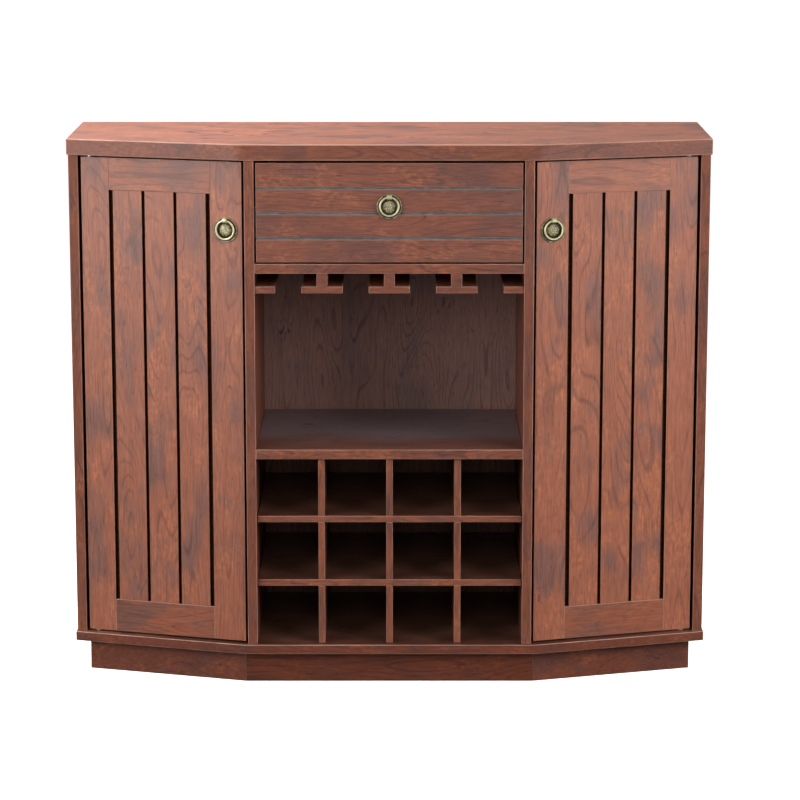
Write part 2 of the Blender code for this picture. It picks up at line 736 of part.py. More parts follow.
def build_pull(name, carrier, place):
    """A ring pull on the face at place, which is given about its carrier's empty."""
    x, face_y, z = place
    plate_y = face_y - FIT
    plate = bpy.data.meshes["plate_with_eye"].copy()
    link(f"{name}_pull_plate", plate, BRASS, parent=carrier, location=(x, plate_y, z))
    hang = (x, plate_y - EYE_STANDOFF, z + EYE_RISE)
    axis = axis_empty(f"{name}_ring_axis", hang, parent=carrier)
    link(f"{name}_pull_ring", bpy.data.meshes["ring"].copy(), BRASS, parent=axis)


def main():
    """Builds the whole sideboard."""
    clear_objects()
    plate_mesh().name = "plate_with_eye"
    ring_mesh().name = "ring"
    build_top_and_base()
    build_plinth()
    build_uprights()
    build_back()
    build_centre_shelves()
    build_bottle_rack()
    build_stem_rack()
    build_inner_shelves()
    build_drawer()
    for side, word in SIDES:
        build_door(side, word)


main()
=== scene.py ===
"""Looks of a bar sideboard with clipped front corners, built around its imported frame.

Each board of the frame is copied, eased along its edges and given a grain of its own. The slatted
door panels, the ring pulls and the small fittings are built anew. Metres, +Z up, and the front
faces -Y.
"""

from __future__ import annotations

import json
import logging
import math
import random
from collections.abc import Callable
from dataclasses import asdict, dataclass, field, replace
from enum import Enum
from functools import cache

import bmesh
import bpy
from mathutils import Matrix, Vector


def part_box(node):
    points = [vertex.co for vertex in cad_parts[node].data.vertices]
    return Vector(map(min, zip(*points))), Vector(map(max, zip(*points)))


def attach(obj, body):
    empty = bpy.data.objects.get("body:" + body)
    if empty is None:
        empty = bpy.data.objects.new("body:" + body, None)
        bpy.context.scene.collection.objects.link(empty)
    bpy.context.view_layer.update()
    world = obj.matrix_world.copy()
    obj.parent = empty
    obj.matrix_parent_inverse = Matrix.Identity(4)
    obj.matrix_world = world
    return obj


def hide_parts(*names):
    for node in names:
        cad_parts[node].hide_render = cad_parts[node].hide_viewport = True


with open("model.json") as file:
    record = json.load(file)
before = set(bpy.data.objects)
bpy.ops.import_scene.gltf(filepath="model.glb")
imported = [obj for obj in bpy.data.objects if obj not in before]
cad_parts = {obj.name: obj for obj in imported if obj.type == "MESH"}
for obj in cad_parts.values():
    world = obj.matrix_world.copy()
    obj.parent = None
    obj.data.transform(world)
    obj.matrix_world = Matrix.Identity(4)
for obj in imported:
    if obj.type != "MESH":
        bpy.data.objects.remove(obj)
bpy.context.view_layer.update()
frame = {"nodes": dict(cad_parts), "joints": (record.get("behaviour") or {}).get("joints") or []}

LOG = logging.getLogger("sideboard")

Colour = tuple[float, float, float]
Profile = list[tuple[float, float]]
Mesh = bpy.types.Mesh
Object = bpy.types.Object
Shape = bmesh.types.BMesh
Socket = bpy.types.NodeSocket

GRAIN = "grain"
# The wear mark; on wood it paints a paler edge, partly real wear and partly a painted highlight.
WEAR_AND_HIGHLIGHT = "wear"
FACING = "facing"

SIDES = ((-1, "left"), (1, "right"))
MERGE = 1e-6
SMALL_FACE = 2e-5
FLUSH = 0.99
FRONTAL = 0.9
GROOVE_WALL = 0.6
UPRIGHT = 0.3
SIDE_ON = 0.1
END_GRAIN = 0.8
BOARD_STEP = 7.3
FLAT = math.radians(1)
ARRIS = math.radians(10)
BLUNT = math.radians(40)
CREASE = math.radians(38)
STRAP_CREASE = math.radians(50)
STRAP_RIM = math.radians(60)
SWEEP_STEPS = 8
FILLET_STEPS = 3
RING_STEPS = 96
WIRE_STEPS = 20
PETAL_SEGMENTS = 14
PETAL_RINGS = 8

# Each noise's scale along the grain, across it and through the board, its detail and its start. The
# ragged edge of the painted rear light has its scale along X, Y and Z.
NOISES = {
    "bend": ((2.5, 7.0, 7.0), 1, 3.1),
    "fibre": ((30.0, 460.0, 460.0), 3, 5.3),
    "streak": ((7.0, 95.0, 95.0), 2, 9.1),
    "pore": ((55.0, 330.0, 330.0), 1, 4.9),
    "patch": ((5.0, 13.0, 13.0), 2, 1.9),
    "gate": ((9.0, 30.0, 30.0), 2, 6.6),
    "fleck": ((90.0, 170.0, 170.0), 4, 2.3),
    "glow": ((11.0, 18.0, 18.0), 4, 0.7),
    "cloud": ((9.0, 16.0, 16.0), 4, 6.1),
    "smoke": ((17.0, 29.0, 29.0), 5, 8.8),
    "knot": ((90.0, 240.0, 240.0), 3, 4.4),
    "smudge": ((9.0, 14.0, 9.0), 3, 1.2),
}
KNOT_CELLS = (7.0, 15.0, 15.0)
SWAY = 0.014
# How far the ragged edge of the painted light toward the back reaches.
REAR_LIGHT_REACH = 0.16


class Grain(Enum):
    """Which way the grain of a board runs at rest, in its body's own directions."""

    WIDTH = (0, 1, 2)
    DEPTH = (1, 0, 2)
    HEIGHT = (2, 0, 1)


class Slot(Enum):
    """The record's material slots."""

    TOP = "top_wood"
    CARCASS = "carcass_wood"
    DOOR = "door_wood"
    DRAWER_FRONT = "drawer_front_wood"
    BACK = "back_wood"
    DRAWER_BOX = "drawer_box_wood"
    BRASS = "antique_brass"
    PIN = "pin_steel"
    RUNNER = "runner_steel"
    CATCH = "catch_plastic"


class Tree:
    """A node tree, filled one node at a time."""

    def __init__(self, tree: bpy.types.NodeTree) -> None:
        """Empties the tree that is to be filled."""
        self.tree = tree
        self.tree.nodes.clear()

    def add(self, kind: str, inputs: dict | None = None, **settings: object) -> bpy.types.Node:
        """Adds a node.

        Args:
            kind: The node's type name.
            inputs: A value or a socket for each input, by the input's name or number.
            settings: The node's own properties.

        Returns:
            The new node.
        """
        node = self.tree.nodes.new(kind)
        for name, value in settings.items():
            setattr(node, name, value)
        for name, value in (inputs or {}).items():
            if isinstance(value, Socket):
                self.tree.links.new(value, node.inputs[name])
            else:
                node.inputs[name].default_value = value
        return node

    def out(self, kind: str, inputs: dict | None = None, **settings: object) -> Socket:
        """Adds a node as add does and gives its first output."""
        return self.add(kind, inputs, **settings).outputs[0]

    def math(self, operation: str, first: object, second: object = 0.0) -> Socket:
        """Adds a Math node of two values or sockets."""
        return self.out("ShaderNodeMath", {0: first, 1: second}, operation=operation)

    def xyz(self, **parts: object) -> Socket:
        """Adds a vector of the named parts."""
        return self.out("ShaderNodeCombineXYZ", parts)

    def span(self, value: Socket, low: float, high: float, start: float = 0, end: float = 1) -> Socket:
        """Maps low to start and high to end, and holds what lies outside them."""
        inputs = {"Value": value, "From Min": low, "From Max": high, "To Min": start, "To Max": end}
        return self.out("ShaderNodeMapRange", inputs, interpolation_type="SMOOTHSTEP")

    def mix(self, share: object, first: object, second: object, blend: str = "MIX") -> Socket:
        """Adds a colour Mix node.

        Args:
            share: How much of the second colour is taken.
            first: The first colour or socket.
            second: The second colour or socket.
            blend: The node's blend mode.

        Returns:
            The result's socket.
        """
        colours = [value if isinstance(value, Socket) else (*value, 1) for value in (first, second)]
        inputs = {0: share, 6: colours[0], 7: colours[1]}
        return self.add("ShaderNodeMix", inputs, data_type="RGBA", blend_type=blend).outputs[2]

    def noise(self, place: Socket, scale: tuple, detail: float = 2, shift: float = 0) -> Socket:
        """Adds noise that is scaled along the grain, across it and through the board."""
        laid = self.out("ShaderNodeMapping", {"Vector": place, "Location": (shift,) * 3, "Scale": scale})
        return self.out("ShaderNodeTexNoise", {"Vector": laid, "Scale": 1, "Detail": detail})

    def attribute(self, name: str, output: str) -> Socket:
        """Reads an attribute of the mesh."""
        return self.add("ShaderNodeAttribute", attribute_name=name).outputs[output]

    def surface(self, height: Socket, strength: float, distance: float, inputs: dict) -> None:
        """Ends a material with a bumped surface.

        Args:
            height: The relief's height.
            strength: How strongly the relief shows.
            distance: The relief's depth.
            inputs: The shader's other inputs.
        """
        bump = self.out("ShaderNodeBump", {"Strength": strength, "Distance": distance, "Height": height})
        shader = self.out("ShaderNodeBsdfPrincipled", {**inputs, "Normal": bump})
        self.add("ShaderNodeOutputMaterial", {"Surface": shader})


def shader_tree(name: str) -> tuple[bpy.types.Material, Tree]:
    """Makes an empty material.

    Args:
        name: The material's name.

    Returns:
        The material and its tree.
    """
    material = bpy.data.materials.new(name)
    material.use_nodes = True
    return material, Tree(material.node_tree)


@dataclass(frozen=True)
class Wood:
    """Stained cherry: fine arcs and fibres, orange flecks, grey clouds and paler edges, partly worn and
    partly a painted highlight; some copies add painted light toward the back.
    """

    name: str
    base: Colour
    warm: Colour
    cool: Colour
    # Grey smudges; in copies with painted rear light, the lighter colour of that painted light.
    smoke: Colour = (0.105, 0.075, 0.078)
    vein: Colour = (0.050, 0.026, 0.025)
    # The paler edge colour: partly wear, partly a painted highlight.
    worn: Colour = (0.50, 0.27, 0.20)
    roughness: float = 0.42
    arcs: float = 0.40
    veins: float = 0.55
    clouds: float = 0.7
    knots: float = 0.12
    lines: float = 18.0
    relief: float = 0.15
    gloss: float = 0.5
    figure: tuple[float, float, float] = (2.6, 14.0, 14.0)
    line_width: float = 0.15
    knot_size: float = 0.60
    # Where the painted light toward the back starts and ends along Y, or None.
    smudge: tuple[float, float] | None = None

    def material(self) -> bpy.types.Material:
        """Builds the finish.

        Returns:
            The material.
        """
        material, tree = shader_tree(self.name)
        grain = tree.attribute(GRAIN, "Vector")
        bend = tree.noise(grain, *NOISES["bend"])
        inputs = {0: tree.xyz(Y=bend, Z=bend), 1: (0, SWAY, SWAY), 2: grain}
        place = tree.out("ShaderNodeVectorMath", inputs, operation="MULTIPLY_ADD")
        fibre, streak, pore = (tree.noise(place, *NOISES[key]) for key in ("fibre", "streak", "pore"))
        bands = tree.span(streak, 0.32, 0.68, 0.96, 1.04)
        shade = tree.math("MULTIPLY", tree.span(fibre, 0.34, 0.66, 0.86, 1.14), bands)
        tint = tree.out("ShaderNodeCombineColor", {0: shade, 1: shade, 2: shade})
        colour = tree.mix(1.0, self._clouds(tree, place), tint, "MULTIPLY")
        dark = tree.math("MAXIMUM", self._lines(tree, place), tree.span(pore, 0.67, 0.75, 0, 0.55))
        dark = tree.math("MAXIMUM", dark, self._knots(tree, place))
        colour = tree.mix(dark, colour, self.vein)
        # Eased edges are paled: partly wear, partly a painted highlight.
        rubbed = tree.span(streak, 0.3, 0.6, 0.4, 0.9)
        worn = tree.math("MULTIPLY", tree.attribute(WEAR_AND_HIGHLIGHT, "Fac"), rubbed)
        colour = tree.mix(worn, colour, self.worn)
        rough = tree.span(fibre, 0.3, 0.7, self.roughness - 0.06, self.roughness + 0.08)
        height = tree.math("SUBTRACT", fibre, tree.math("MULTIPLY", dark, 0.8))
        inputs = {"Base Color": colour, "Roughness": rough, "Specular IOR Level": self.gloss}
        tree.surface(height, self.relief, 0.0004, inputs)
        return material

    def _lines(self, tree: Tree, place: Socket) -> Socket:
        """Adds the growth lines: nested arcs everywhere, drawn strongly here and there.

        Args:
            tree: The material's tree.
            place: The vector that they are laid on.

        Returns:
            How dark the lines are.
        """
        figure = tree.noise(place, self.figure, 0.6, 7.7)
        phase = tree.math("PINGPONG", tree.math("MULTIPLY", figure, self.lines), 0.5)
        patch = tree.span(tree.noise(place, *NOISES["patch"]), 0.44, 0.58, 0.25, 1)
        fine = tree.math("MULTIPLY", tree.span(phase, self.line_width, 0.03, 0, self.arcs), patch)
        gate = tree.span(tree.noise(place, *NOISES["gate"]), 0.57, 0.66, 0, self.veins)
        strong = tree.math("MULTIPLY", tree.span(phase, self.line_width / 2, 0.02), gate)
        return tree.math("MAXIMUM", fine, strong)

    def _clouds(self, tree: Tree, place: Socket) -> Socket:
        """Adds the flecks and clouds of the stain, and painted light toward the back where asked.

        Args:
            tree: The material's tree.
            place: The vector that they are laid on.

        Returns:
            The stained colour, with any painted light.
        """
        ends = {"fleck": (0.42, 0.64), "cloud": (0.46, 0.68), "smoke": (0.60, 0.82)}
        fleck, cloud, smoke = (
            tree.span(tree.noise(place, *NOISES[key]), *span, 0, self.clouds) for key, span in ends.items()
        )
        glow = tree.span(tree.noise(place, *NOISES["glow"]), 0.46, 0.62, 0.10, 1.0)
        colour = tree.mix(tree.math("MULTIPLY", fleck, glow), self.base, self.warm)
        colour = tree.mix(cloud, colour, self.cool)
        # Painted light: further back along Y the colour turns toward the lighter tone.
        if self.smudge:
            spot = tree.add("ShaderNodeTexCoord").outputs["Object"]
            depth = tree.add("ShaderNodeSeparateXYZ", {0: spot}).outputs["Y"]
            ragged = tree.math("MULTIPLY", tree.noise(spot, *NOISES["smudge"]), REAR_LIGHT_REACH)
            smoke = tree.span(tree.math("ADD", depth, ragged), *self.smudge, 0, 0.9)
        return tree.mix(smoke, colour, self.smoke)

    def _knots(self, tree: Tree, place: Socket) -> Socket:
        """Adds a few small dark knots.

        Args:
            tree: The material's tree.
            place: The vector that they are laid on.

        Returns:
            How dark the knots are.
        """
        laid = tree.out("ShaderNodeMapping", {"Vector": place, "Scale": KNOT_CELLS})
        cells = tree.add("ShaderNodeTexVoronoi", {"Vector": laid, "Scale": 1.0, "Randomness": 1.0})
        ragged = tree.math("ADD", cells.outputs["Distance"], tree.noise(place, *NOISES["knot"]))
        chosen = tree.out("ShaderNodeSeparateColor", {0: cells.outputs["Color"]})
        core = tree.span(ragged, self.knot_size, self.knot_size - 0.1)
        return tree.math("MULTIPLY", core, tree.span(chosen, 1 - self.knots, 1.02 - self.knots, 0, 0.85))


@dataclass(frozen=True)
class Paint:
    """A thin matt colour in a groove: the drawer's grey paint, and the painted shade in the door's grooves.
    """

    name: str
    tone: Colour
    fleck: Colour
    roughness: float
    gloss: float = 0.5

    def material(self) -> bpy.types.Material:
        """Builds the finish.

        Returns:
            The material.
        """
        material, tree = shader_tree(self.name)
        place = tree.add("ShaderNodeTexCoord").outputs["Object"]
        patch = tree.span(tree.noise(place, (60, 60, 240), 3), 0.4, 0.65)
        colour = tree.mix(patch, self.tone, self.fleck)
        inputs = {"Base Color": colour, "Roughness": self.roughness, "Specular IOR Level": self.gloss}
        tree.surface(patch, 0.1, 0.0003, inputs)
        return material


@dataclass(frozen=True)
class Metal:
    """A metal or plastic that is dark in its recesses and bright where it is handled."""

    name: str
    bright: Colour
    dull: Colour
    roughness: float
    metallic: float = 1.0
    speckle: float = 900.0

    def material(self) -> bpy.types.Material:
        """Builds the finish.

        Returns:
            The material.
        """
        material, tree = shader_tree(self.name)
        place = tree.add("ShaderNodeTexCoord").outputs["Object"]
        patch = tree.noise(place, (self.speckle,) * 3, 3)
        cloud = tree.noise(place, (self.speckle / 6,) * 3, 2, 2.0)
        wear = tree.math("ADD", tree.attribute(WEAR_AND_HIGHLIGHT, "Fac"), tree.span(patch, 0.3, 0.7, -0.16, 0.16))
        wear = tree.math("ADD", wear, tree.span(cloud, 0.3, 0.7, -0.12, 0.12))
        colour = tree.mix(tree.span(wear, 0.0, 1.0), self.dull, self.bright)
        rough = tree.span(wear, 0.0, 1.0, self.roughness + 0.28, self.roughness)
        inputs = {"Base Color": colour, "Roughness": rough, "Metallic": self.metallic}
        tree.surface(patch, 0.12, 0.0002, inputs)
        return material


CHERRY = Wood(
    "stained_cherry", (0.224, 0.073, 0.043), (0.38, 0.122, 0.057), (0.143, 0.059, 0.047), gloss=0.42
)
# Painted shade: a darker copy for the base, the plinth's angled boards and the dividers' inner faces.
SHADED_BASE_CHERRY = replace(
    CHERRY, name="cherry_base", base=(0.180, 0.053, 0.030), warm=(0.28, 0.084, 0.040),
    cool=(0.120, 0.046, 0.035), gloss=0.35,
)
# Painted shade: a darker copy for the plinth under the base's overhang.
SHADED_PLINTH_CHERRY = Wood(
    "cherry_plinth", (0.160, 0.042, 0.021), (0.24, 0.064, 0.028), (0.105, 0.036, 0.024),
    (0.070, 0.045, 0.045), (0.030, 0.014, 0.012), (0.32, 0.16, 0.12), clouds=0.6, knots=0.05, gloss=0.35,
)
# Painted shade: a dark copy for the inside of the bottle rack, lightened toward the back by painted light.
SHADED_RACK_CHERRY = Wood(
    "cherry_shade", (0.090, 0.031, 0.019), (0.124, 0.040, 0.023), (0.070, 0.029, 0.020),
    (0.280, 0.133, 0.087), (0.045, 0.021, 0.016), clouds=0.5, knots=0.05, gloss=0.25,
    smudge=(-0.12, 0.04),
)
# Painted shade and painted reflection: a darker copy for the niche floor, turning lighter and bluer toward
# the back.
SHADED_NICHE_CHERRY = Wood(
    "cherry_niche", (0.190, 0.073, 0.050), (0.25, 0.088, 0.054), (0.150, 0.072, 0.060),
    (0.235, 0.180, 0.200), (0.020, 0.012, 0.012), roughness=0.34, clouds=0.6, veins=1.0, knots=0.3,
    gloss=0.4, smudge=(-0.06, 0.06),
)
# Painted light: a lighter copy of the cherry for the doors, standing in for the light that falls on them.
LIT_DOOR_CHERRY = Wood(
    "cherry_door", (0.372, 0.126, 0.072), (0.50, 0.169, 0.080), (0.225, 0.103, 0.083),
    (0.125, 0.098, 0.102), (0.070, 0.036, 0.032), (0.62, 0.33, 0.24), roughness=0.38, arcs=0.36, veins=0.5,
    clouds=0.85,
)
# Painted shade: a darker copy for the bottom rails, darker lower down.
SHADED_RAIL_CHERRY = replace(
    LIT_DOOR_CHERRY, name="cherry_rail", base=(0.320, 0.103, 0.056), warm=(0.42, 0.132, 0.060),
    cool=(0.206, 0.090, 0.067),
)
DRAWER_CHERRY = replace(
    CHERRY, name="cherry_drawer", base=(0.238, 0.083, 0.053), warm=(0.40, 0.139, 0.070),
    cool=(0.152, 0.068, 0.058),
)
# Painted light: a lighter copy for the bottle rack's front edges.
LIT_RACK_EDGE_CHERRY = replace(
    CHERRY, name="cherry_rack", base=(0.265, 0.084, 0.047), warm=(0.44, 0.140, 0.061),
    cool=(0.170, 0.068, 0.051),
)
TOP_CHERRY = Wood(
    "cherry_top", (0.350, 0.122, 0.074), (0.52, 0.178, 0.090), (0.225, 0.100, 0.078),
    roughness=0.46, arcs=0.7, veins=1.0, clouds=0.85, knots=0.04, gloss=0.42,
)
BACK_CHERRY = Wood(
    "cherry_back", (0.275, 0.138, 0.110), (0.345, 0.155, 0.114), (0.190, 0.117, 0.105),
    roughness=0.5, arcs=0.5, veins=0.45, knots=0.55, lines=24.0, figure=(3.0, 12.0, 12.0),
    line_width=0.13, knot_size=0.65,
)
PLAIN_HARDWOOD = Wood(
    "sanded_hardwood", (0.53, 0.36, 0.21), (0.60, 0.42, 0.25), (0.44, 0.30, 0.18), (0.40, 0.28, 0.18),
    (0.22, 0.13, 0.07), (0.58, 0.42, 0.26), roughness=0.55, arcs=0.2, veins=0.25, clouds=0.5, knots=0.03,
)
# Painted shade: near black on the door's groove floors and walls.
GROOVE_PAINTED_SHADE = Paint("dark_groove_stain", (0.050, 0.016, 0.007), (0.075, 0.023, 0.010), 0.9, 0.05)
PLANK_PAINT = Paint("grey_groove_paint", (0.105, 0.110, 0.114), (0.180, 0.182, 0.180), 0.5)
BRASS = Metal("antique_brass", (0.82, 0.74, 0.44), (0.030, 0.025, 0.019), 0.30, 0.55)
ZINC = Metal("zinc_plate", (0.62, 0.62, 0.60), (0.30, 0.30, 0.29), 0.30, speckle=400.0)
BROWN_PLASTIC = Metal("brown_plastic", (0.050, 0.034, 0.027), (0.030, 0.022, 0.018), 0.38, 0.0, 1500.0)


@cache
def finish_of(finish: Wood | Paint | Metal) -> bpy.types.Material:
    """Gives the material of a finish, built once."""
    return finish.material()


def joint(name: str) -> tuple[Vector, Vector]:
    """Looks up a point on a joint's axis and the axis."""
    found = next(item for item in frame["joints"] if item["name"] == name)
    return Vector(found.get("pos_m", (0, 0, 0))), Vector(found["axis"]).normalized()


def upright_frame(origin: Vector, across: Vector) -> Matrix:
    """Makes a frame at a point, whose X runs across a face, whose Y runs into it and whose Z is up."""
    rows = Matrix((across, Vector((0, 0, 1)).cross(across), (0, 0, 1))).transposed()
    return Matrix.Translation(origin) @ rows.to_4x4()


def local_box(node: str, place: Matrix) -> tuple[Vector, Vector]:
    """Measures a node of the frame in a turned frame.

    Args:
        node: The node's name.
        place: The turned frame.

    Returns:
        Its lowest and highest corners there.
    """
    back = place.inverted()
    points = [back @ vertex.co for vertex in frame["nodes"][node].data.vertices]
    low, high = (Vector([end(point[axis] for point in points) for axis in range(3)]) for end in (min, max))
    return low, high


def keep(piece: Object, body: str, slot: Slot, *nodes: str) -> None:
    """Joins a finished piece to the frame.

    Args:
        piece: The piece, at the origin with its place in its mesh.
        body: The body that it moves with.
        slot: Not used.
        nodes: The nodes that it stands for.
    """
    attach(piece, body)
    if nodes:
        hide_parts(*nodes)
    LOG.info("%s rides on %s with %d faces", piece.name, body, len(piece.data.polygons))


def new_object(name: str, data: bpy.types.ID) -> Object:
    """Puts a mesh, a light or a camera in the scene.

    Args:
        name: The object's name.
        data: What it shows.

    Returns:
        The object.
    """
    item = bpy.data.objects.new(name, data)
    bpy.context.scene.collection.objects.link(item)
    return item


def mesh_of(shape: Shape, name: str) -> Mesh:
    """Turns a finished shape into a mesh.

    Args:
        shape: The shape, which is freed.
        name: The mesh's name.

    Returns:
        The mesh.
    """
    mesh = bpy.data.meshes.new(name)
    shape.to_mesh(mesh)
    shape.free()
    return mesh


def coat(mesh: Mesh, finish: Wood | Metal) -> None:
    """Gives a whole mesh one finish."""
    mesh.materials.clear()
    mesh.materials.append(finish_of(finish))


def recoat(mesh: Mesh, finish: Wood | Paint, chosen: Callable[[bpy.types.MeshPolygon], bool]) -> None:
    """Gives some faces of a mesh a second finish.

    Args:
        mesh: The mesh.
        finish: The second finish.
        chosen: Tells whether a face gets that finish.
    """
    mesh.materials.append(finish_of(finish))
    for face in mesh.polygons:
        if chosen(face):
            face.material_index = len(mesh.materials) - 1


def set_wear(mesh: Mesh, amount: float) -> None:
    """Marks a whole mesh as evenly worn, from 0 in a recess to 1 where it is bright."""
    layer = mesh.attributes.new(WEAR_AND_HIGHLIGHT, "FLOAT", "POINT")
    layer.data.foreach_set("value", [amount] * len(mesh.vertices))


def lay_grain(mesh: Mesh, grain: Grain, seed: str, turn: Matrix, pitch: float = 0) -> None:
    """Gives each face corner its place in the board's own wood.

    A face across the grain is banded: there the grain runs along its longer side. Boards of one
    panel each take their own stretch of wood.

    Args:
        mesh: The board's mesh.
        grain: The way its grain runs.
        seed: What its stretch of wood is drawn from.
        turn: The frame whose directions the grain follows.
        pitch: The distance between the boards of one panel, or zero for one board.
    """
    draw = random.Random(seed)
    start = Vector((draw.uniform(0, 40), draw.uniform(0, 40), draw.uniform(0, 40)))
    axes = turn.to_3x3().transposed()
    along, across, through = (axes[index] for index in grain.value)
    layer = mesh.attributes.new(GRAIN, "FLOAT_VECTOR", "CORNER")
    back = turn.inverted()
    for face in mesh.polygons:
        rows = (along, across, through)
        if abs(face.normal.dot(along)) > END_GRAIN:
            corners = [mesh.vertices[index].co for index in face.vertices]
            wide, deep = (
                max(corner.dot(axis) for corner in corners) - min(corner.dot(axis) for corner in corners)
                for axis in (across, through)
            )
            rows = (across, along, through) if wide > deep else (through, along, across)
        board = round((back @ face.center).x / pitch) * BOARD_STEP if pitch else 0
        for corner in face.loop_indices:
            place = mesh.vertices[mesh.loops[corner].vertex_index].co
            values = [place.dot(row) + shift for row, shift in zip(rows, start)]
            layer.data[corner].vector = (values[0] + board, values[1] + board, values[2])


def round_off(shape: Shape, edges: list, width: float, segments: int = 2) -> list[bmesh.types.BMFace]:
    """Rounds edges of a shape.

    Args:
        shape: The shape.
        edges: The edges.
        width: The width of the rounding.
        segments: How many faces the rounding has across.

    Returns:
        The new faces.
    """
    return bmesh.ops.bevel(
        shape, geom=edges, offset=width, segments=segments, profile=0.5, affect="EDGES", clamp_overlap=True
    )["faces"]


def eased_mesh(node: str, ease: float, sweep: float = 0) -> Mesh:
    """Copies a board of the frame and rounds its outer edges.

    Args:
        node: The board's node.
        ease: The width of the rounding.
        sweep: How far a blunt upright corner is swept round, or zero if it stays crisp.

    Returns:
        The new mesh, with its rounded edges marked as worn; on wood that mark paints a paler edge, partly
        wear and partly a painted highlight.
    """
    shape = bmesh.new()
    shape.from_mesh(frame["nodes"][node].data)
    bmesh.ops.remove_doubles(shape, verts=shape.verts, dist=MERGE)
    bmesh.ops.dissolve_limit(shape, angle_limit=FLAT, verts=shape.verts, edges=shape.edges)
    wear = shape.faces.layers.float.new(WEAR_AND_HIGHLIGHT)
    if sweep:
        blunt = [edge for edge in shape.edges if is_arris(edge) and edge.calc_face_angle() < BLUNT]
        round_off(shape, blunt, sweep, SWEEP_STEPS)
    for face in round_off(shape, [edge for edge in shape.edges if is_arris(edge)], ease):
        face[wear] = 1
    return mesh_of(shape, node)


def is_arris(edge: bmesh.types.BMEdge) -> bool:
    """Tells whether an edge is an outer edge between two real faces, not facets of a hole."""
    real = len(edge.link_faces) == 2 and min(face.calc_area() for face in edge.link_faces) >= SMALL_FACE
    return real and edge.is_convex and edge.calc_face_angle() > ARRIS


@dataclass
class Board:
    """A board of the frame, dressed in wood."""

    node: str
    body: str
    slot: Slot
    finish: Wood
    grain: Grain
    ease: float
    turn: Matrix = field(default_factory=Matrix)
    sweep: float = 0.0

    def build(self) -> Mesh:
        """Builds the board.

        Returns:
            The piece's mesh.
        """
        mesh = eased_mesh(self.node, self.ease, self.sweep)
        lay_grain(mesh, self.grain, self.node, self.turn)
        coat(mesh, self.finish)
        keep(new_object(f"{self.node}_board", mesh), self.body, self.slot, self.node)
        return mesh


class Recipe:
    """A Geometry Nodes tree that is run once and leaves a plain mesh."""

    def __init__(self, name: str, kind: str, *names: str, **inputs: str) -> None:
        """Starts a recipe.

        Args:
            name: The tree's name.
            kind: The socket type of the inputs in names.
            names: The inputs of that type.
            inputs: The socket type of each other input.
        """
        group = bpy.data.node_groups.new(name, "GeometryNodeTree")
        for way in ("INPUT", "OUTPUT"):
            group.interface.new_socket("Geometry", in_out=way, socket_type="NodeSocketGeometry")
        sorts = {**dict.fromkeys(names, kind), **inputs, "Material": "NodeSocketMaterial"}
        self.keys = {
            key: group.interface.new_socket(key, in_out="INPUT", socket_type=sort).identifier
            for key, sort in sorts.items()
        }
        self.tree = Tree(group)
        self.start = self.tree.add("NodeGroupInput")
        self.values = [self.start.outputs[key] for key in (*names, *inputs)]

    def scatter(self, points: Socket, way: object) -> None:
        """Ends the tree with a fitting on each point.

        Args:
            points: The points.
            way: The vector or socket that says which way each fitting faces.
        """
        turn = self.tree.out("FunctionNodeAlignRotationToVector", {"Vector": way}, axis="Z")
        source = self.tree.add("GeometryNodeObjectInfo", {"Object": self.start.outputs["Fitting"]})
        inputs = {"Points": points, "Instance": source.outputs["Geometry"], "Rotation": turn}
        self.finish(self.tree.out("GeometryNodeInstanceOnPoints", inputs), True)

    def finish(self, geometry: Socket, smooth: bool) -> None:
        """Ends the tree with real geometry and its material.

        Args:
            geometry: What the tree has made.
            smooth: Whether its faces are shaded smooth.
        """
        real = self.tree.out("GeometryNodeRealizeInstances", {"Geometry": geometry})
        shaded = self.tree.out("GeometryNodeSetShadeSmooth", {"Geometry": real, "Shade Smooth": smooth})
        inputs = {"Geometry": shaded, "Material": self.start.outputs["Material"]}
        self.tree.add("NodeGroupOutput", {"Geometry": self.tree.out("GeometryNodeSetMaterial", inputs)})

    def run(self, name: str, finish: Wood | Metal, base: Mesh | None = None, **values: object) -> Mesh:
        """Runs the tree on a mesh.

        Args:
            name: The result's name.
            finish: The result's finish.
            base: The mesh that it starts from, if any.
            values: The value of each named input, with _ for a space.

        Returns:
            The plain mesh that it makes.
        """
        carrier = new_object(name, base or bpy.data.meshes.new("start"))
        modifier = carrier.modifiers.new(name, "NODES")
        modifier.node_group = self.tree.tree
        for key, value in {**values, "Material": finish_of(finish)}.items():
            modifier[self.keys[key.replace("_", " ")]] = value
        view = bpy.context.evaluated_depsgraph_get()
        made = bpy.data.meshes.new_from_object(
            carrier.evaluated_get(view), preserve_all_data_layers=True, depsgraph=view
        )
        carrier.modifiers.remove(modifier)
        bpy.data.objects.remove(carrier, do_unlink=True)
        made.name = name
        coat(made, finish)
        made.polygons.foreach_set("material_index", [0] * len(made.polygons))
        return made


def fitting_recipe() -> Recipe:
    """Makes the recipe that sets one small fitting on each point, turned the way the point faces.

    Returns:
        The recipe.
    """
    recipe = Recipe("fittings", "NodeSocketObject", "Fitting")
    facing = recipe.tree.out("GeometryNodeInputNamedAttribute", {"Name": FACING}, data_type="FLOAT_VECTOR")
    recipe.scatter(recipe.start.outputs["Geometry"], facing)
    return recipe


def nail_recipe() -> Recipe:
    """Makes the recipe that sets fittings at even steps along a path, facing back.

    Returns:
        The recipe.
    """
    recipe = Recipe("nail_row", "NodeSocketObject", "Fitting", Step="NodeSocketFloat")
    path = recipe.tree.out("GeometryNodeMeshToCurve", {"Mesh": recipe.start.outputs["Geometry"]})
    inputs = {"Curve": path, "Length": recipe.start.outputs["Step"]}
    recipe.scatter(recipe.tree.out("GeometryNodeResampleCurve", inputs, mode="LENGTH"), (0, 1, 0))
    return recipe


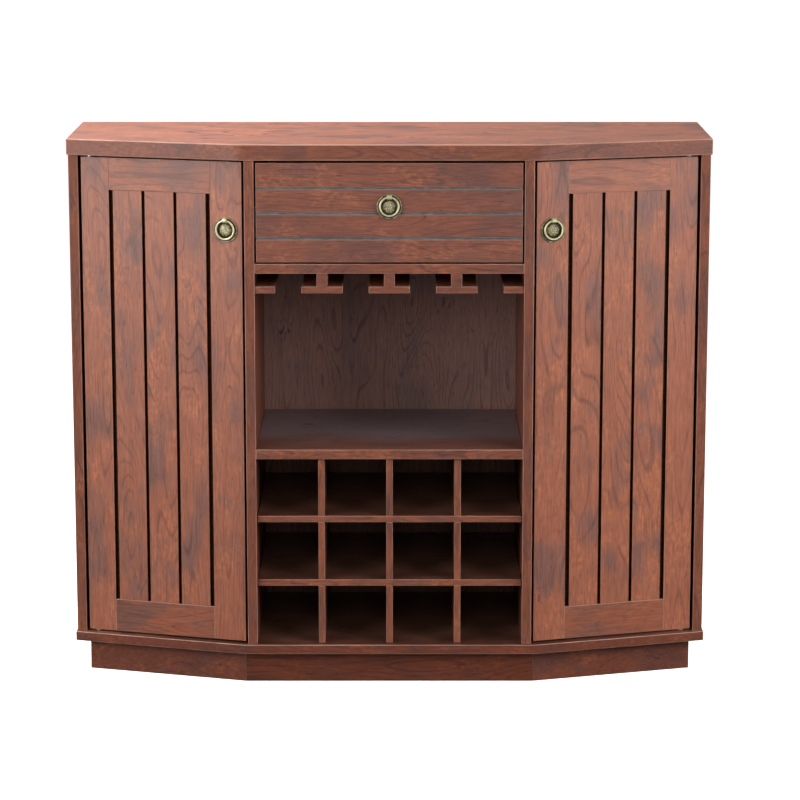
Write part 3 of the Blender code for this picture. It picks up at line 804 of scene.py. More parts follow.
def ring_recipe() -> Recipe:
    """Makes the recipe of a wire ring.

    Returns:
        The recipe.
    """
    recipe = Recipe("wire_ring", "NodeSocketFloat", "Radius", "Wire")
    ring, wire = (
        recipe.tree.out("GeometryNodeCurvePrimitiveCircle", {"Resolution": steps, "Radius": radius})
        for steps, radius in zip((RING_STEPS, WIRE_STEPS), recipe.values)
    )
    recipe.finish(recipe.tree.out("GeometryNodeCurveToMesh", {"Curve": ring, "Profile Curve": wire}), True)
    return recipe


def slat_recipe() -> Recipe:
    """Makes the recipe of a slatted panel: a backing board with a row of rounded slats on it.

    Returns:
        The recipe.
    """
    names = ("Slat Width", "Pitch", "Height", "Groove Depth", "Thickness", "Width", "Ease")
    recipe = Recipe("slatted_panel", "NodeSocketFloat", *names, Count="NodeSocketInt")
    tree = recipe.tree
    slat_width, pitch, height, groove, thickness, width, ease, count = recipe.values
    section = tree.out("GeometryNodeCurvePrimitiveQuadrilateral", {"Width": slat_width, "Height": groove})
    inputs = {"Curve": section, "Radius": ease, "Count": FILLET_STEPS}
    eased = tree.out("GeometryNodeFilletCurve", inputs, mode="POLY")
    path = tree.out("GeometryNodeCurvePrimitiveLine", {"End": tree.xyz(Z=height)})
    slat = tree.out("GeometryNodeCurveToMesh", {"Curve": path, "Profile Curve": eased, "Fill Caps": True})
    reach = tree.math("MULTIPLY", tree.math("SUBTRACT", count, 1), pitch)
    first = tree.xyz(X=tree.math("MULTIPLY", reach, -0.5), Y=tree.math("MULTIPLY", groove, 0.5))
    inputs = {"Count": count, "Start Location": first, "Offset": tree.xyz(X=pitch)}
    row = tree.out("GeometryNodeMeshLine", inputs)
    slats = tree.out("GeometryNodeInstanceOnPoints", {"Points": row, "Instance": slat})
    depth = tree.math("SUBTRACT", thickness, groove)
    backing = tree.out("GeometryNodeMeshCube", {"Size": tree.xyz(X=width, Y=depth, Z=height)})
    behind = tree.math("ADD", groove, tree.math("MULTIPLY", depth, 0.5))
    shift = tree.xyz(Y=behind, Z=tree.math("MULTIPLY", height, 0.5))
    placed = tree.out("GeometryNodeTransform", {"Geometry": backing, "Translation": shift})
    both = tree.add("GeometryNodeJoinGeometry")
    for part in (slats, placed):
        tree.tree.links.new(part, both.inputs[0])
    recipe.finish(both.outputs[0], False)
    return recipe


def petal_recipe() -> Recipe:
    """Makes the recipe of a whorl of petals round an upright middle.

    Returns:
        The recipe.
    """
    names = ("Radius", "Length", "Breadth", "Rise", "Lift", "Twist")
    recipe = Recipe("petals", "NodeSocketFloat", *names, Count="NodeSocketInt")
    tree = recipe.tree
    radius, length, breadth, rise, lift, twist, count = recipe.values
    row = tree.out("GeometryNodeMeshCircle", {"Vertices": count, "Radius": radius})
    inputs = {"Segments": PETAL_SEGMENTS, "Rings": PETAL_RINGS, "Radius": 1.0}
    petal = tree.out("GeometryNodeMeshUVSphere", inputs)
    size = tree.xyz(X=length, Y=breadth, Z=rise)
    shaped = tree.out("GeometryNodeTransform", {"Geometry": petal, "Scale": size})
    turned = tree.out("GeometryNodeTransform", {"Geometry": shaped, "Rotation": tree.xyz(Z=twist)})
    place = tree.out("GeometryNodeInputPosition")
    turn = tree.out("FunctionNodeAlignRotationToVector", {"Vector": place}, axis="X")
    inputs = {"Points": row, "Instance": turned, "Rotation": turn}
    whorl = tree.out("GeometryNodeInstanceOnPoints", inputs)
    lifted = tree.out("GeometryNodeTransform", {"Geometry": whorl, "Translation": tree.xyz(Z=lift)})
    recipe.finish(lifted, True)
    return recipe


def turned_mesh(name: str, profile: Profile, sides: int) -> Mesh:
    """Turns a profile about the Z axis into a smooth, closed mesh.

    Args:
        name: The mesh's name.
        profile: Points of radius and height, from the lower middle round to the upper middle.
        sides: How many sides the turned shape has.

    Returns:
        The mesh.
    """
    shape = bmesh.new()
    points = [shape.verts.new((radius, 0, height)) for radius, height in profile]
    edges = [shape.edges.new(pair) for pair in zip(points, points[1:])]
    bmesh.ops.spin(
        shape, geom=points + edges, cent=(0, 0, 0), axis=(0, 0, 1), steps=sides, angle=math.tau,
        use_merge=True,
    )
    bmesh.ops.remove_doubles(shape, verts=shape.verts, dist=MERGE)
    bmesh.ops.recalc_face_normals(shape, faces=shape.faces)
    mesh = mesh_of(shape, name)
    mesh.shade_smooth()
    mesh.set_sharp_from_angle(angle=CREASE)
    return mesh


def arc(angle: float, steps: int) -> list[float]:
    """Divides an angle into even steps."""
    return [angle * step / steps for step in range(steps + 1)]


@dataclass(frozen=True)
class Turned:
    """A small turned fitting that stands on Z = 0 and faces up."""

    name: str
    finish: Metal
    sides: int
    profile: tuple[tuple[float, float], ...]


PAN_HEAD = Turned(
    "screw_head", ZINC, 20,
    ((0, 0), (0.0035, 0), (0.0035, 0.0005), (0.0031, 0.0011), (0.0022, 0.0016), (0, 0.0016)),
)
SHELF_PIN = Turned(
    "shelf_pin", ZINC, 20,
    ((0, 0), (0.0038, 0), (0.0038, 0.0012), (0.0025, 0.0016), (0.0025, 0.0084), (0.0019, 0.009), (0, 0.009)),
)
CAM_CAP = Turned(
    "cam_cap", BROWN_PLASTIC, 32,
    (
        (0, 0), (0.0085, 0), (0.0085, 0.0005), (0.0078, 0.0011), (0.0012, 0.0013), (0.0009, 0.0009),
        (0, 0.0009),
    ),
)
NAIL_HEAD = Turned(
    "nail_head", ZINC, 12, ((0, 0), (0.0020, 0), (0.0019, 0.0004), (0.0013, 0.0006), (0, 0.0006))
)


@dataclass
class Fittings:
    """Screws, pins, caps and nails: one master of each, set on points by Geometry Nodes."""

    recess: tuple[float, float, float] = (0.0005, 0.0020, 0.0011)
    wear: float = 0.8

    def __post_init__(self) -> None:
        """Makes the masters and the recipes."""
        self.spread = fitting_recipe()
        self.row = nail_recipe()
        self.masters = {}
        for kind in (PAN_HEAD, SHELF_PIN, CAM_CAP, NAIL_HEAD):
            master = new_object(kind.name, turned_mesh(kind.name, kind.profile, kind.sides))
            if kind is PAN_HEAD:
                self._cut_cross(master, kind.profile[-1][1])
            set_wear(master.data, self.wear)
            self.masters[kind] = master

    def _cut_cross(self, head: Object, top: float) -> None:
        """Cuts the cross recess of a screw.

        Args:
            head: The screw's head.
            top: The height of its face.
        """
        width, length, depth = self.recess
        cuts = []
        for size in ((width, length, depth), (length, width, depth)):
            cut = bmesh.new()
            bmesh.ops.create_cube(cut, size=2)
            bmesh.ops.scale(cut, vec=size, verts=cut.verts)
            bmesh.ops.translate(cut, vec=(0, 0, top), verts=cut.verts)
            cuts.append(new_object("slot", mesh_of(cut, "slot")))
            modifier = head.modifiers.new("slot", "BOOLEAN")
            modifier.object = cuts[-1]
            modifier.solver = "EXACT"
        shown = head.evaluated_get(bpy.context.evaluated_depsgraph_get())
        mesh = bpy.data.meshes.new_from_object(shown)
        head.modifiers.clear()
        head.data = mesh
        for cut in cuts:
            bpy.data.objects.remove(cut, do_unlink=True)

    def place(
        self, name: str, body: str, slot: Slot, kind: Turned, spots: list[tuple[Vector, Vector]]
    ) -> None:
        """Sets copies of a fitting on points.

        Args:
            name: The piece's name.
            body: The body that they move with.
            slot: The material slot.
            kind: The fitting that is copied.
            spots: The place of each copy and the way that it faces.
        """
        points = bpy.data.meshes.new(f"{name}_points")
        points.from_pydata([spot for spot, _ in spots], [], [])
        facing = points.attributes.new(FACING, "FLOAT_VECTOR", "POINT")
        for item, (_, way) in zip(facing.data, spots):
            item.vector = way
        mesh = self.spread.run(name, kind.finish, points, Fitting=self.masters[kind])
        keep(new_object(name, mesh), body, slot)

    def line(self, name: str, corners: list[Vector], step: float) -> None:
        """Drives nails along a closed path on the back of the carcass.

        Args:
            name: The piece's name.
            corners: The path's corners.
            step: The distance between two nails.
        """
        path = bpy.data.meshes.new(f"{name}_path")
        edges = [(index, (index + 1) % len(corners)) for index in range(len(corners))]
        path.from_pydata(corners, edges, [])
        mesh = self.row.run(name, NAIL_HEAD.finish, path, Fitting=self.masters[NAIL_HEAD], Step=step)
        keep(new_object(name, mesh), "carcass", Slot.PIN)

    def clear(self) -> None:
        """Takes the masters out of the scene."""
        for master in self.masters.values():
            bpy.data.objects.remove(master, do_unlink=True)


@dataclass
class Carcass:
    """The top, the base, the plinth, the uprights, the shelves and the back boards."""

    fittings: Fittings
    top_ease: float = 0.0020
    base_ease: float = 0.0012
    edge_ease: float = 0.0010
    mitre_ease: float = 0.0003
    back_ease: float = 0.00045
    corner_sweep: float = 0.010
    nail_inset: float = 0.0045
    nail_step: float = 0.085
    cap_inset: float = 0.060
    pin_front: float = 0.05
    pin_front_outer: float = 0.115
    pin_back: float = 0.04
    pin_drop: float = 0.0029

    def build(self) -> None:
        """Builds every board and the fittings that join them."""
        wide, tall = Grain.WIDTH, Grain.HEIGHT
        sweep = self.corner_sweep
        top = Board("top_panel", "carcass", Slot.TOP, TOP_CHERRY, wide, self.top_ease, sweep=sweep).build()
        recoat(top, CHERRY, lambda face: abs(face.normal.z) < UPRIGHT)
        base = self._board("base_panel", wide, self.base_ease, SHADED_BASE_CHERRY, sweep=sweep)
        # The base's top face takes the painted shade of the bottle rack.
        recoat(base, SHADED_RACK_CHERRY, lambda face: face.normal.z > FLUSH)
        for part in ("front", "left_angle", "right_angle", "back"):
            # Painted shade: the plinth's angled boards take the shaded base copy, the others a darker one.
            finish = SHADED_BASE_CHERRY if "angle" in part else SHADED_PLINTH_CHERRY
            self._board(f"plinth_{part}", wide, self.mitre_ease, finish)
        for way, side in SIDES:
            self._board(f"plinth_{side}_side", Grain.DEPTH, self.mitre_ease, SHADED_PLINTH_CHERRY)
            self._board(f"{side}_side_panel", tall, self.edge_ease)
            divider = self._board(f"{side}_divider", tall, self.edge_ease)
            # The divider's face toward the middle takes painted shade.
            recoat(divider, SHADED_BASE_CHERRY, lambda face, way=way: face.normal.x * way < -FLUSH)
            self._board(f"{side}_inner_shelf", wide, self.edge_ease)
            self._board(f"{side}_back_panel", tall, self.back_ease, BACK_CHERRY, Slot.BACK)
        self._centre_back()
        self._board("drawer_shelf", wide, self.edge_ease)
        niche = self._board("niche_shelf", wide, self.edge_ease)
        # The niche floor takes painted shade, with a painted reflection toward the back.
        recoat(niche, SHADED_NICHE_CHERRY, lambda face: face.normal.z > FLUSH)
        self._nails()
        self._shelf_pins()
        self._caps()

    def _board(
        self, node: str, grain: Grain, ease: float, finish: Wood = CHERRY, slot: Slot = Slot.CARCASS,
        sweep: float = 0,
    ) -> Mesh:
        """Dresses one board of the carcass and gives its mesh."""
        return Board(node, "carcass", slot, finish, grain, ease, sweep=sweep).build()

    def _centre_back(self) -> None:
        """Dresses the middle back board, whose front behind the bottle rack takes the rack's painted shade
        and painted rear light.
        """
        mesh = self._board("centre_back_panel", Grain.HEIGHT, self.back_ease, BACK_CHERRY, Slot.BACK)
        niche_low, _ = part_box("niche_shelf")
        shape = bmesh.new()
        shape.from_mesh(mesh)
        everything = shape.verts[:] + shape.edges[:] + shape.faces[:]
        bmesh.ops.bisect_plane(shape, geom=everything, plane_co=niche_low, plane_no=(0, 0, 1))
        shape.to_mesh(mesh)
        shape.free()
        # Painted shade and painted rear light on the back board's front below the niche shelf.
        recoat(mesh, SHADED_RACK_CHERRY, lambda face: face.normal.y < -FRONTAL and face.center.z < niche_low.z)

    def _nails(self) -> None:
        """Nails each back board along its edge."""
        inset = self.nail_inset
        for part in ("left", "centre", "right"):
            low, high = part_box(f"{part}_back_panel")
            x, z = (low.x + inset, high.x - inset), (low.z + inset, high.z - inset)
            corners = [Vector((x[i], high.y, z[j])) for i, j in ((0, 0), (1, 0), (1, 1), (0, 1))]
            self.fittings.line(f"{part}_back_nails", corners, self.nail_step)

    def _shelf_pins(self) -> None:
        """Sets four pins under each shelf behind the doors."""
        for side, word in SIDES:
            low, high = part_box(f"{word}_inner_shelf")
            spots = [
                (Vector((x, y, low.z - self.pin_drop)), Vector((way, 0, 0)))
                for x, way in ((low.x, 1), (high.x, -1))
                for y in (
                    low.y + (self.pin_front_outer if way == -side else self.pin_front),
                    high.y - self.pin_back,
                )
            ]
            self.fittings.place(f"{word}_shelf_pins", "carcass", Slot.PIN, SHELF_PIN, spots)

    def _caps(self) -> None:
        """Covers the cam fittings at the ends of the side panels, inside the cupboards."""
        inset = self.cap_inset
        for side, word in SIDES:
            low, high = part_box(f"{word}_side_panel")
            spots = [
                (Vector((low.x if side > 0 else high.x, y, z)), Vector((-side, 0, 0)))
                for y in (low.y + inset, high.y - inset)
                for z in (low.z + inset / 2, high.z - inset / 2)
            ]
            self.fittings.place(f"{word}_cam_caps", "carcass", Slot.CATCH, CAM_CAP, spots)


@dataclass
class BottleRack:
    """The loose crate of halved boards."""

    ease: float = 0.0007

    def build(self) -> None:
        """Builds the two shelves and the three uprights."""
        boards = [(f"rack_shelf_{word}", Grain.WIDTH) for word in ("lower", "upper")]
        boards += [(f"rack_upright_{word}", Grain.HEIGHT) for word in ("left", "centre", "right")]
        for node, grain in boards:
            # Front edges take a lighter copy (painted light), the other faces a darker copy (painted shade).
            mesh = Board(node, "carcass", Slot.CARCASS, LIT_RACK_EDGE_CHERRY, grain, self.ease).build()
            recoat(mesh, SHADED_RACK_CHERRY, lambda face: abs(face.normal.y) < SIDE_ON)


@dataclass
class StemRack:
    """The rails that hold glasses by the foot."""

    ease: float = 0.0008

    def build(self) -> None:
        """Builds the three rails and the two side strips."""
        for node in ("rail_left", "rail_centre", "rail_right", "strip_left", "strip_right"):
            Board(f"stem_{node}", "carcass", Slot.CARCASS, CHERRY, Grain.DEPTH, self.ease).build()


@dataclass(frozen=True)
class Whorl:
    """A ring of petals on the boss of a pull, or the bead, whose petals all stand in the middle."""

    count: int
    radius: float
    length: float
    breadth: float
    rise: float
    lift: float
    twist: float
    wear: float


WHORLS = (
    Whorl(9, 0.0084, 0.0031, 0.0014, 0.0011, 0.0028, 0.55, 0.44),
    Whorl(7, 0.0047, 0.0021, 0.0011, 0.0011, 0.0040, 0.75, 0.68),
    Whorl(3, 0.0, 0.0014, 0.0014, 0.0013, 0.0044, 0.0, 0.85),
)


@dataclass
class RingPull:
    """A ring pull: rimmed plate, rosette, eye and ring, drawn facing +Z about the plate's middle."""

    name: str
    body: str
    ring: str
    rings: Recipe
    petals: Recipe
    plate_radius: float = 0.02325
    plate_edge: tuple[float, float] = (0.0004, 0.0005)
    rim_width: float = 0.0026
    rim_height: float = 0.0030
    rim_foot: float = 0.0003
    rim_wear: float = 0.38
    rim_play: float = 0.0002
    floor: float = 0.0015
    floor_wear: float = 0.08
    dome: float = 0.0022
    dome_foot: tuple[float, float, float] = (0.0012, 0.0005, 0.0003)
    dome_wear: float = 0.36
    ring_radius: float = 0.0172
    wire_radius: float = 0.0018
    ring_wear: float = 0.95
    eye_rise: float = 0.0178
    eye_standoff: float = 0.006
    eye_width: float = 0.009
    eye_bore: float = 0.0027
    eye_wall: float = 0.00125
    eye_ease: float = 0.0003
    eye_wear: float = 1.0
    boss_radius: float = 0.0115
    plate_sides: int = 72
    rim_steps: int = 8
    dome_steps: int = 6
    eye_steps: int = 12

    def build(self) -> None:
        """Builds the plate and the ring on their bodies."""
        hang, axis = joint(f"{self.ring}_swing")
        shift = Matrix.Translation((0, self.eye_standoff, -self.eye_rise))
        facing = upright_frame(hang, -axis) @ shift @ Matrix.Rotation(math.pi / 2, 4, "X")
        whole = bmesh.new()
        for mesh in (self._plate(), *self._rosette(), self._eye()):
            whole.from_mesh(mesh)
            bpy.data.meshes.remove(mesh)
        self._piece("plate", mesh_of(whole, f"{self.name}_plate"), facing, self.body)
        name = f"{self.name}_ring_mesh"
        ring = self.rings.run(name, BRASS, Radius=self.ring_radius, Wire=self.wire_radius)
        set_wear(ring, self.ring_wear)
        ring.transform(Matrix.Translation((0, self.eye_rise - self.ring_radius, self.eye_standoff)))
        self._piece("ring", ring, facing, self.ring)

    def _piece(self, part: str, mesh: Mesh, place: Matrix, body: str) -> None:
        """Moves a mesh to its place and joins it to the frame.

        Args:
            part: The part of the pull.
            mesh: Its mesh.
            place: Where it belongs.
            body: The body that it moves with.
        """
        mesh.transform(place)
        coat(mesh, BRASS)
        keep(new_object(f"{self.name}_{part}_piece", mesh), body, Slot.BRASS, f"{self.name}_{part}")

    def _plate(self) -> Mesh:
        """Turns the plate, with a rounded rim and a shallow dome in its middle.

        Returns:
            The mesh, darker toward the floor of the recess.
        """
        rim = self.rim_width / 2
        inner = self.plate_radius - self.rim_width
        chamfer, edge_height = self.plate_edge
        moat, skirt, step = self.dome_foot
        profile = [(0, 0), (self.plate_radius - chamfer, 0), (self.plate_radius, edge_height)]
        profile += [
            (self.plate_radius - rim + rim * math.cos(turn), self.rim_height - rim + rim * math.sin(turn))
            for turn in arc(math.pi, self.rim_steps)
        ]
        profile += [(inner - self.rim_foot, self.floor), (self.boss_radius + moat, self.floor)]
        profile += [
            ((self.boss_radius + skirt) * math.cos(turn), self.floor + step + self.dome * math.sin(turn))
            for turn in arc(math.pi / 2, self.dome_steps)
        ]
        profile[-1] = (0, profile[-1][1])
        mesh = turned_mesh("plate", profile, self.plate_sides)
        layer = mesh.attributes.new(WEAR_AND_HIGHLIGHT, "FLOAT", "POINT")
        for vertex, value in zip(mesh.vertices, layer.data):
            share = max(0, vertex.co.z - self.floor) / self.dome
            on_rim = math.hypot(vertex.co.x, vertex.co.y) > inner - self.rim_play
            value.value = self.rim_wear if on_rim else self.floor_wear + self.dome_wear * share
        return mesh

    def _rosette(self) -> list[Mesh]:
        """Makes two whorls of petals and the bead in their middle.

        Returns:
            The meshes.
        """
        meshes = []
        for whorl in WHORLS:
            sizes = {key.capitalize(): size for key, size in asdict(whorl).items() if key != "wear"}
            meshes.append(self.petals.run("whorl", BRASS, **sizes))
            set_wear(meshes[-1], whorl.wear)
        return meshes

    def _strap(self, reach: float) -> Profile:
        """Draws one face of the strap: a foot, the bend over the ring and the other foot.

        Args:
            reach: How far the face is from the middle of the bend.

        Returns:
            Its points, up the plate and out from it.
        """
        bend = [
            (self.eye_rise - reach * math.cos(turn), self.eye_standoff + reach * math.sin(turn))
            for turn in arc(math.pi, self.eye_steps)
        ]
        return [(self.eye_rise - reach, self.floor / 2), *bend, (self.eye_rise + reach, self.floor / 2)]

    def _eye(self) -> Mesh:
        """Bends the strap that holds the ring.

        Returns:
            The mesh.
        """
        outline = self._strap(self.eye_bore + self.eye_wall) + self._strap(self.eye_bore)[::-1]
        count = len(outline)
        shape = bmesh.new()
        half = self.eye_width / 2
        ends = [[shape.verts.new((x, y, z)) for y, z in outline] for x in (-half, half)]
        for index in range(count):
            after = (index + 1) % count
            shape.faces.new((ends[0][index], ends[0][after], ends[1][after], ends[1][index]))
        for end in ends:
            for index in range(count // 2 - 1):
                corners = (index, index + 1, count - 2 - index, count - 1 - index)
                shape.faces.new([end[corner] for corner in corners])
        bmesh.ops.recalc_face_normals(shape, faces=shape.faces)
        rims = [edge for edge in shape.edges if edge.calc_face_angle(0) > STRAP_RIM]
        round_off(shape, rims, self.eye_ease)
        mesh = mesh_of(shape, "eye")
        mesh.shade_smooth()
        mesh.set_sharp_from_angle(angle=STRAP_CREASE)
        set_wear(mesh, self.eye_wear)
        return mesh


@dataclass
class Door:
    """One door: two stiles, two rails, a slatted panel, its pins and its pull's screw."""

    side: int
    word: str
    slats: Recipe
    fittings: Fittings
    ease: float = 0.0006
    slat_ease: float = 0.0004
    slat_count: int = 3
    edge_groove: float = 0.008
    slat_groove: float = 0.006
    groove_depth: float = 0.008
    pin_radius: float = 0.003
    pin_ease: float = 0.0004
    pin_in_door: float = 0.014
    pin_sides: int = 32
    pin_wear: float = 0.8
    collar_ends: tuple[float, float] = (0.0003, 0.0037)

    def build(self) -> None:
        """Builds the door on its body."""
        pivot, _ = joint(f"{self.word}_door_hinge")
        _, ring_axis = joint(f"{self.word}_ring_swing")
        self.body = f"{self.word}_door"
        self.turn = upright_frame(Vector((pivot.x, pivot.y, 0)), -ring_axis)
        for part, way in (("hinge_stile", -self.side), ("lock_stile", self.side)):
            mesh = self._board(part, LIT_DOOR_CHERRY, Grain.HEIGHT)
            across = self.turn.to_3x3() @ Vector((way, 0, 0))
            # The stiles' faces toward the panel take the grooves' painted shade.
            recoat(mesh, GROOVE_PAINTED_SHADE, lambda face, across=across: face.normal.dot(across) > FLUSH)
        self._board("top_rail", LIT_DOOR_CHERRY, Grain.WIDTH)
        # The bottom rail takes painted shade.
        self._board("bottom_rail", SHADED_RAIL_CHERRY, Grain.WIDTH)
        self._panel()
        self._pins()
        self._screw()

    def _board(self, part: str, finish: Wood, grain: Grain) -> Mesh:
        """Dresses one board of the door's frame and gives its mesh."""
        node = f"{self.word}_{part}"
        return Board(node, self.body, Slot.DOOR, finish, grain, self.ease, self.turn).build()

    def _panel(self) -> None:
        """Builds the slatted panel, with painted shade in its grooves."""
        node = f"{self.word}_door_panel"
        low, high = local_box(node, self.turn)
        width = high.x - low.x
        slat = (width - 2 * self.edge_groove - (self.slat_count - 1) * self.slat_groove) / self.slat_count
        mesh = self.slats.run(
            f"{node}_mesh", LIT_DOOR_CHERRY, Slat_Width=slat, Pitch=slat + self.slat_groove,
            Height=high.z - low.z, Groove_Depth=self.groove_depth, Thickness=high.y - low.y, Width=width,
            Ease=self.slat_ease, Count=self.slat_count,
        )
        mesh.transform(Matrix.Translation(((low.x + high.x) / 2, low.y, low.z)))
        # The eased slat edges are marked: a paler edge, partly wear and partly a painted highlight.
        wear = mesh.attributes.new(WEAR_AND_HIGHLIGHT, "FLOAT", "FACE")
        for face, value in zip(mesh.polygons, wear.data):
            value.value = 1.0 if max(abs(axis) for axis in face.normal) < FLUSH else 0.0
        floor = low.y + self.slat_ease
        # Painted shade on the groove walls and floors.
        recoat(
            mesh, GROOVE_PAINTED_SHADE,
            lambda face: abs(face.normal.x) > GROOVE_WALL
            or (face.center.y > floor and face.normal.y < -FLUSH),
        )
        mesh.transform(self.turn)
        lay_grain(mesh, Grain.HEIGHT, node, self.turn, slat + self.slat_groove)
        keep(new_object(f"{node}_slats", mesh), self.body, Slot.DOOR, node)

    def _pins(self) -> None:
        """Turns the two pivot pins, with eased ends and collars."""
        pin, ease = self.pin_radius, self.pin_ease
        for end, way in (("upper", 1), ("lower", -1)):
            node = f"{self.word}_{end}_pin"
            low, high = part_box(node)
            middle = (low + high) / 2
            collar = (high.x - low.x) / 2
            door_end = high.z - self.pin_in_door if way > 0 else low.z + self.pin_in_door
            under, over = sorted(door_end + way * reach for reach in self.collar_ends)
            profile = [
                (0, low.z), (pin - ease, low.z), (pin, low.z + ease), (pin, under), (collar - ease, under),
                (collar, under + ease), (collar, over - ease), (collar - ease, over), (pin, over),
                (pin, high.z - ease), (pin - ease, high.z), (0, high.z),
            ]
            mesh = turned_mesh(f"{node}_mesh", profile, self.pin_sides)
            mesh.transform(Matrix.Translation((middle.x, middle.y, 0)))
            set_wear(mesh, self.pin_wear)
            coat(mesh, ZINC)
            keep(new_object(f"{node}_turned", mesh), self.body, Slot.PIN, node)

    def _screw(self) -> None:
        """Adds the pull's screw on the back of the lock stile."""
        _, stile_high = local_box(f"{self.word}_lock_stile", self.turn)
        low, high = local_box(f"{self.word}_door_pull_plate", self.turn)
        spot = self.turn @ Vector(((low.x + high.x) / 2, stile_high.y, (low.z + high.z) / 2))
        way = self.turn.to_3x3() @ Vector((0, 1, 0))
        self.fittings.place(f"{self.word}_pull_screw", self.body, Slot.PIN, PAN_HEAD, [(spot, way)])


@dataclass
class Drawer:
    """The grooved front, the box behind it, its runners and its pull's screw."""

    fittings: Fittings
    ease: float = 0.0006
    box_ease: float = 0.0010
    sheet_ease: float = 0.0003
    sheet: float = 0.0015
    screw_places: tuple[float, ...] = (0.1, 0.5, 0.9)
    groove_depth: float = 0.004

    def build(self) -> None:
        """Builds the drawer and its runners."""
        front = Board("drawer_front", "drawer", Slot.DRAWER_FRONT, DRAWER_CHERRY, Grain.WIDTH, self.ease)
        self._paint_grooves(front.build())
        wide, deep = Grain.WIDTH, Grain.DEPTH
        for part, grain in (("left_side", deep), ("right_side", deep), ("back", wide), ("bottom", wide)):
            node = f"drawer_{part}"
            Board(node, "drawer", Slot.DRAWER_BOX, PLAIN_HARDWOOD, grain, self.box_ease).build()
        for side, word in SIDES:
            self._channel(f"{word}_runner_track", "carcass", -side)
            self._channel(f"{word}_slide", "drawer", side)
        low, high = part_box("drawer_pull_plate")
        _, front_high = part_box("drawer_front")
        spot = Vector(((low.x + high.x) / 2, front_high.y, (low.z + high.z) / 2))
        way = Vector((0, 1, 0))
        self.fittings.place("drawer_pull_screw", "drawer", Slot.PIN, PAN_HEAD, [(spot, way)])

    def _paint_grooves(self, mesh: Mesh) -> None:
        """Paints the grooves between the planks grey.

        Args:
            mesh: The drawer front's mesh.
        """
        low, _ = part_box("drawer_front")

        def in_groove(face: bpy.types.MeshPolygon) -> bool:
            """Tells whether a face is a wall or the floor of a groove.

            Args:
                face: The face.

            Returns:
                Whether it is painted.
            """
            heights = [mesh.vertices[index].co.z for index in face.vertices]
            inside = low.y + self.ease < face.center.y < low.y + 1.01 * self.groove_depth
            return inside and max(heights) - min(heights) < 2 * self.groove_depth

        recoat(mesh, PLANK_PAINT, in_groove)

    def _channel(self, node: str, body: str, way: int) -> None:
        """Dresses a folded steel channel and screws it to its board.

        Args:
            node: The channel's node.
            body: The body that it moves with.
            way: 1 if its open side faces +X, otherwise -1.
        """
        mesh = eased_mesh(node, self.sheet_ease)
        coat(mesh, ZINC)
        keep(new_object(f"{node}_channel", mesh), body, Slot.RUNNER, node)
        low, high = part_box(node)
        web = low.x + self.sheet if way > 0 else high.x - self.sheet
        middle = (low.z + high.z) / 2
        spots = [
            (Vector((web, low.y + share * (high.y - low.y), middle)), Vector((way, 0, 0)))
            for share in self.screw_places
        ]
        self.fittings.place(f"{node}_screws", body, Slot.RUNNER, PAN_HEAD, spots)


@dataclass
class Catch:
    """A magnetic catch, of which the moulded case is built."""

    word: str
    ease: float = 0.0015

    def build(self) -> None:
        """Builds the case."""
        node = f"{self.word}_catch"
        mesh = eased_mesh(node, self.ease)
        coat(mesh, BROWN_PLASTIC)
        keep(new_object(f"{node}_case", mesh), "carcass", Slot.CATCH, node)


@dataclass(frozen=True)
class Softbox:
    """A soft rectangular light."""

    name: str
    place: tuple[float, float, float]
    target: tuple[float, float, float]
    size: tuple[float, float]
    power: float
    mirrored: bool = True

    def hang(self) -> None:
        """Hangs the light and turns it to its target."""
        data = bpy.data.lights.new(self.name, "AREA")
        data.shape = "RECTANGLE"
        data.size, data.size_y = self.size
        data.energy = self.power
        light = new_object(self.name, data)
        light.location = self.place
        light.rotation_euler = (Vector(self.target) - Vector(self.place)).to_track_quat("-Z", "Y").to_euler()
        light.visible_glossy = self.mirrored


SOFTBOXES = (
    Softbox("left_softbox", (-3.1, -1.6, 2.2), (-0.2, 0, 1.0), (2.6, 1.8), 35),
    Softbox("right_softbox", (3.1, -1.6, 2.1), (0.2, 0, 0.9), (2.6, 1.8), 86, False),
    Softbox("left_side_softbox", (-2.4, -2.3, 1.2), (-0.4, 0, 1.0), (2.0, 1.6), 50),
    Softbox("right_side_softbox", (2.4, -2.3, 1.2), (0.4, 0, 1.0), (2.0, 1.6), 30),
    Softbox("front_softbox", (0, -5.0, 2.4), (0, 0, 0.5), (2.0, 1.2), 16),
    Softbox("low_softbox", (0, -5.2, 1.2), (0, 0, 0.4), (2.0, 1.0), 8),
    Softbox("overhead_softbox", (-1.2, 0.3, 2.6), (-0.1, 0, 1.0), (1.4, 1.0), 67),
)


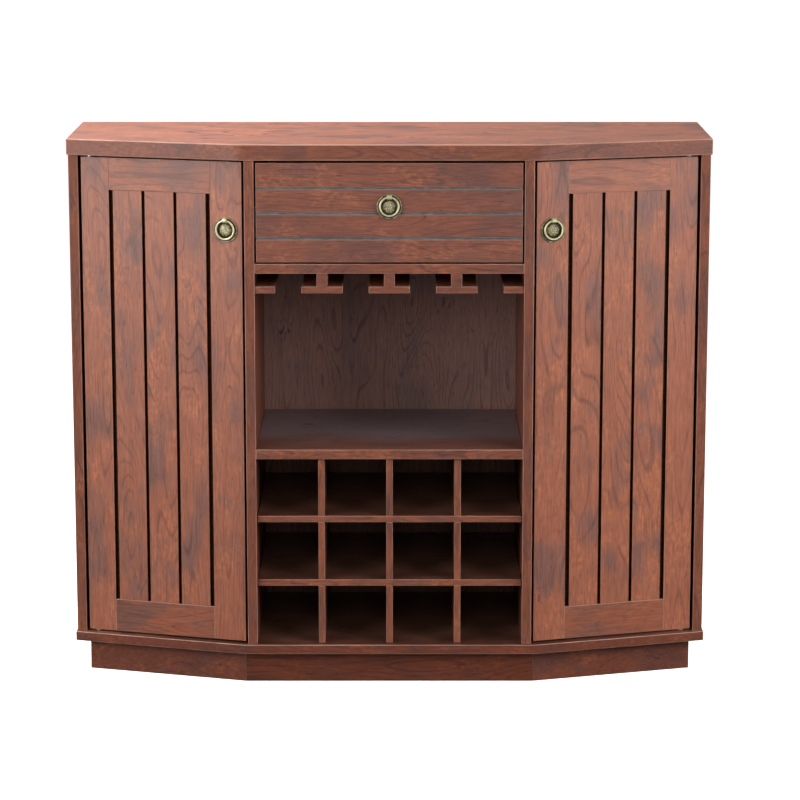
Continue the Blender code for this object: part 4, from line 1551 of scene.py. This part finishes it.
@dataclass
class Studio:
    """A pale floor, soft lights and the photograph's camera."""

    floor_size: float = 120.0
    floor_tone: tuple[float, float, float, float] = (0.93, 0.93, 0.92, 1)
    floor_glow: float = 0.95
    camera_place: tuple[float, float, float] = (0.0196, -5.6979, 1.6348)
    camera_pitch: float = 11.180
    lens: float = 136.27
    dome: tuple[float, float] = (0.04, 0.08)
    backdrop: float = 0.40

    def build(self) -> None:
        """Builds the studio."""
        self._floor()
        self._world()
        for softbox in SOFTBOXES:
            softbox.hang()
        self._camera()
        bpy.context.scene.view_settings.view_transform = "Standard"

    def _floor(self) -> None:
        """Lays the floor, which lights nothing by itself."""
        half = self.floor_size / 2
        mesh = bpy.data.meshes.new("floor")
        corners = [(-half, -half, 0), (half, -half, 0), (half, half, 0), (-half, half, 0)]
        mesh.from_pydata(corners, [], [(0, 1, 2, 3)])
        floor = new_object("floor", mesh)
        material, tree = shader_tree("pale_floor")
        matt = tree.out("ShaderNodeBsdfDiffuse", {"Color": self.floor_tone})
        glow = tree.out("ShaderNodeEmission", {"Color": (1, 1, 1, 1), "Strength": self.floor_glow})
        tree.add("ShaderNodeOutputMaterial", {"Surface": tree.out("ShaderNodeAddShader", {0: matt, 1: glow})})
        mesh.materials.append(material)
        floor.visible_diffuse = False
        floor.visible_glossy = False

    def _world(self) -> None:
        """Lights the room from a dome: bright overhead and behind, dim in front and below."""
        world = bpy.data.worlds.new("studio")
        world.use_nodes = True
        bpy.context.scene.world = world
        tree = Tree(world.node_tree)
        way = tree.add("ShaderNodeTexCoord").outputs["Generated"]
        side, back, height = tree.add("ShaderNodeSeparateXYZ", {0: way}).outputs
        wall = tree.span(back, 0.3, 0.95, 0, self.backdrop)
        behind = tree.math("MULTIPLY", wall, tree.span(height, -0.1, 0))
        behind = tree.math("MULTIPLY", behind, tree.span(side, -0.3, 0.3, 1.3, 0.5))
        dome = tree.math("ADD", tree.span(height, -0.2, 1, *self.dome), behind)
        seen = tree.add("ShaderNodeLightPath").outputs["Is Camera Ray"]
        strength = tree.out("ShaderNodeMix", {0: seen, 2: dome, 3: 1.0}, data_type="FLOAT")
        light = tree.out("ShaderNodeBackground", {"Color": (1, 1, 1, 1), "Strength": strength})
        tree.add("ShaderNodeOutputWorld", {"Surface": light})

    def _camera(self) -> None:
        """Sets up the camera at the photograph's viewing angle."""
        data = bpy.data.cameras.new("camera")
        data.lens = self.lens
        camera = new_object("camera", data)
        camera.location = self.camera_place
        camera.rotation_euler = (math.radians(90 - self.camera_pitch), 0, 0)
        bpy.context.scene.camera = camera


def main() -> None:
    """Builds the sideboard and the studio."""
    logging.basicConfig(level=logging.INFO, format="%(name)s: %(message)s")
    fittings = Fittings()
    Carcass(fittings).build()
    BottleRack().build()
    StemRack().build()
    Drawer(fittings).build()
    slats, rings, petals = slat_recipe(), ring_recipe(), petal_recipe()
    for side, word in SIDES:
        Door(side, word, slats, fittings).build()
        RingPull(f"{word}_door_pull", f"{word}_door", f"{word}_ring", rings, petals).build()
        Catch(word).build()
    RingPull("drawer_pull", "drawer", "drawer_ring", rings, petals).build()
    fittings.clear()
    Studio().build()


if __name__ == "__main__":
    main()
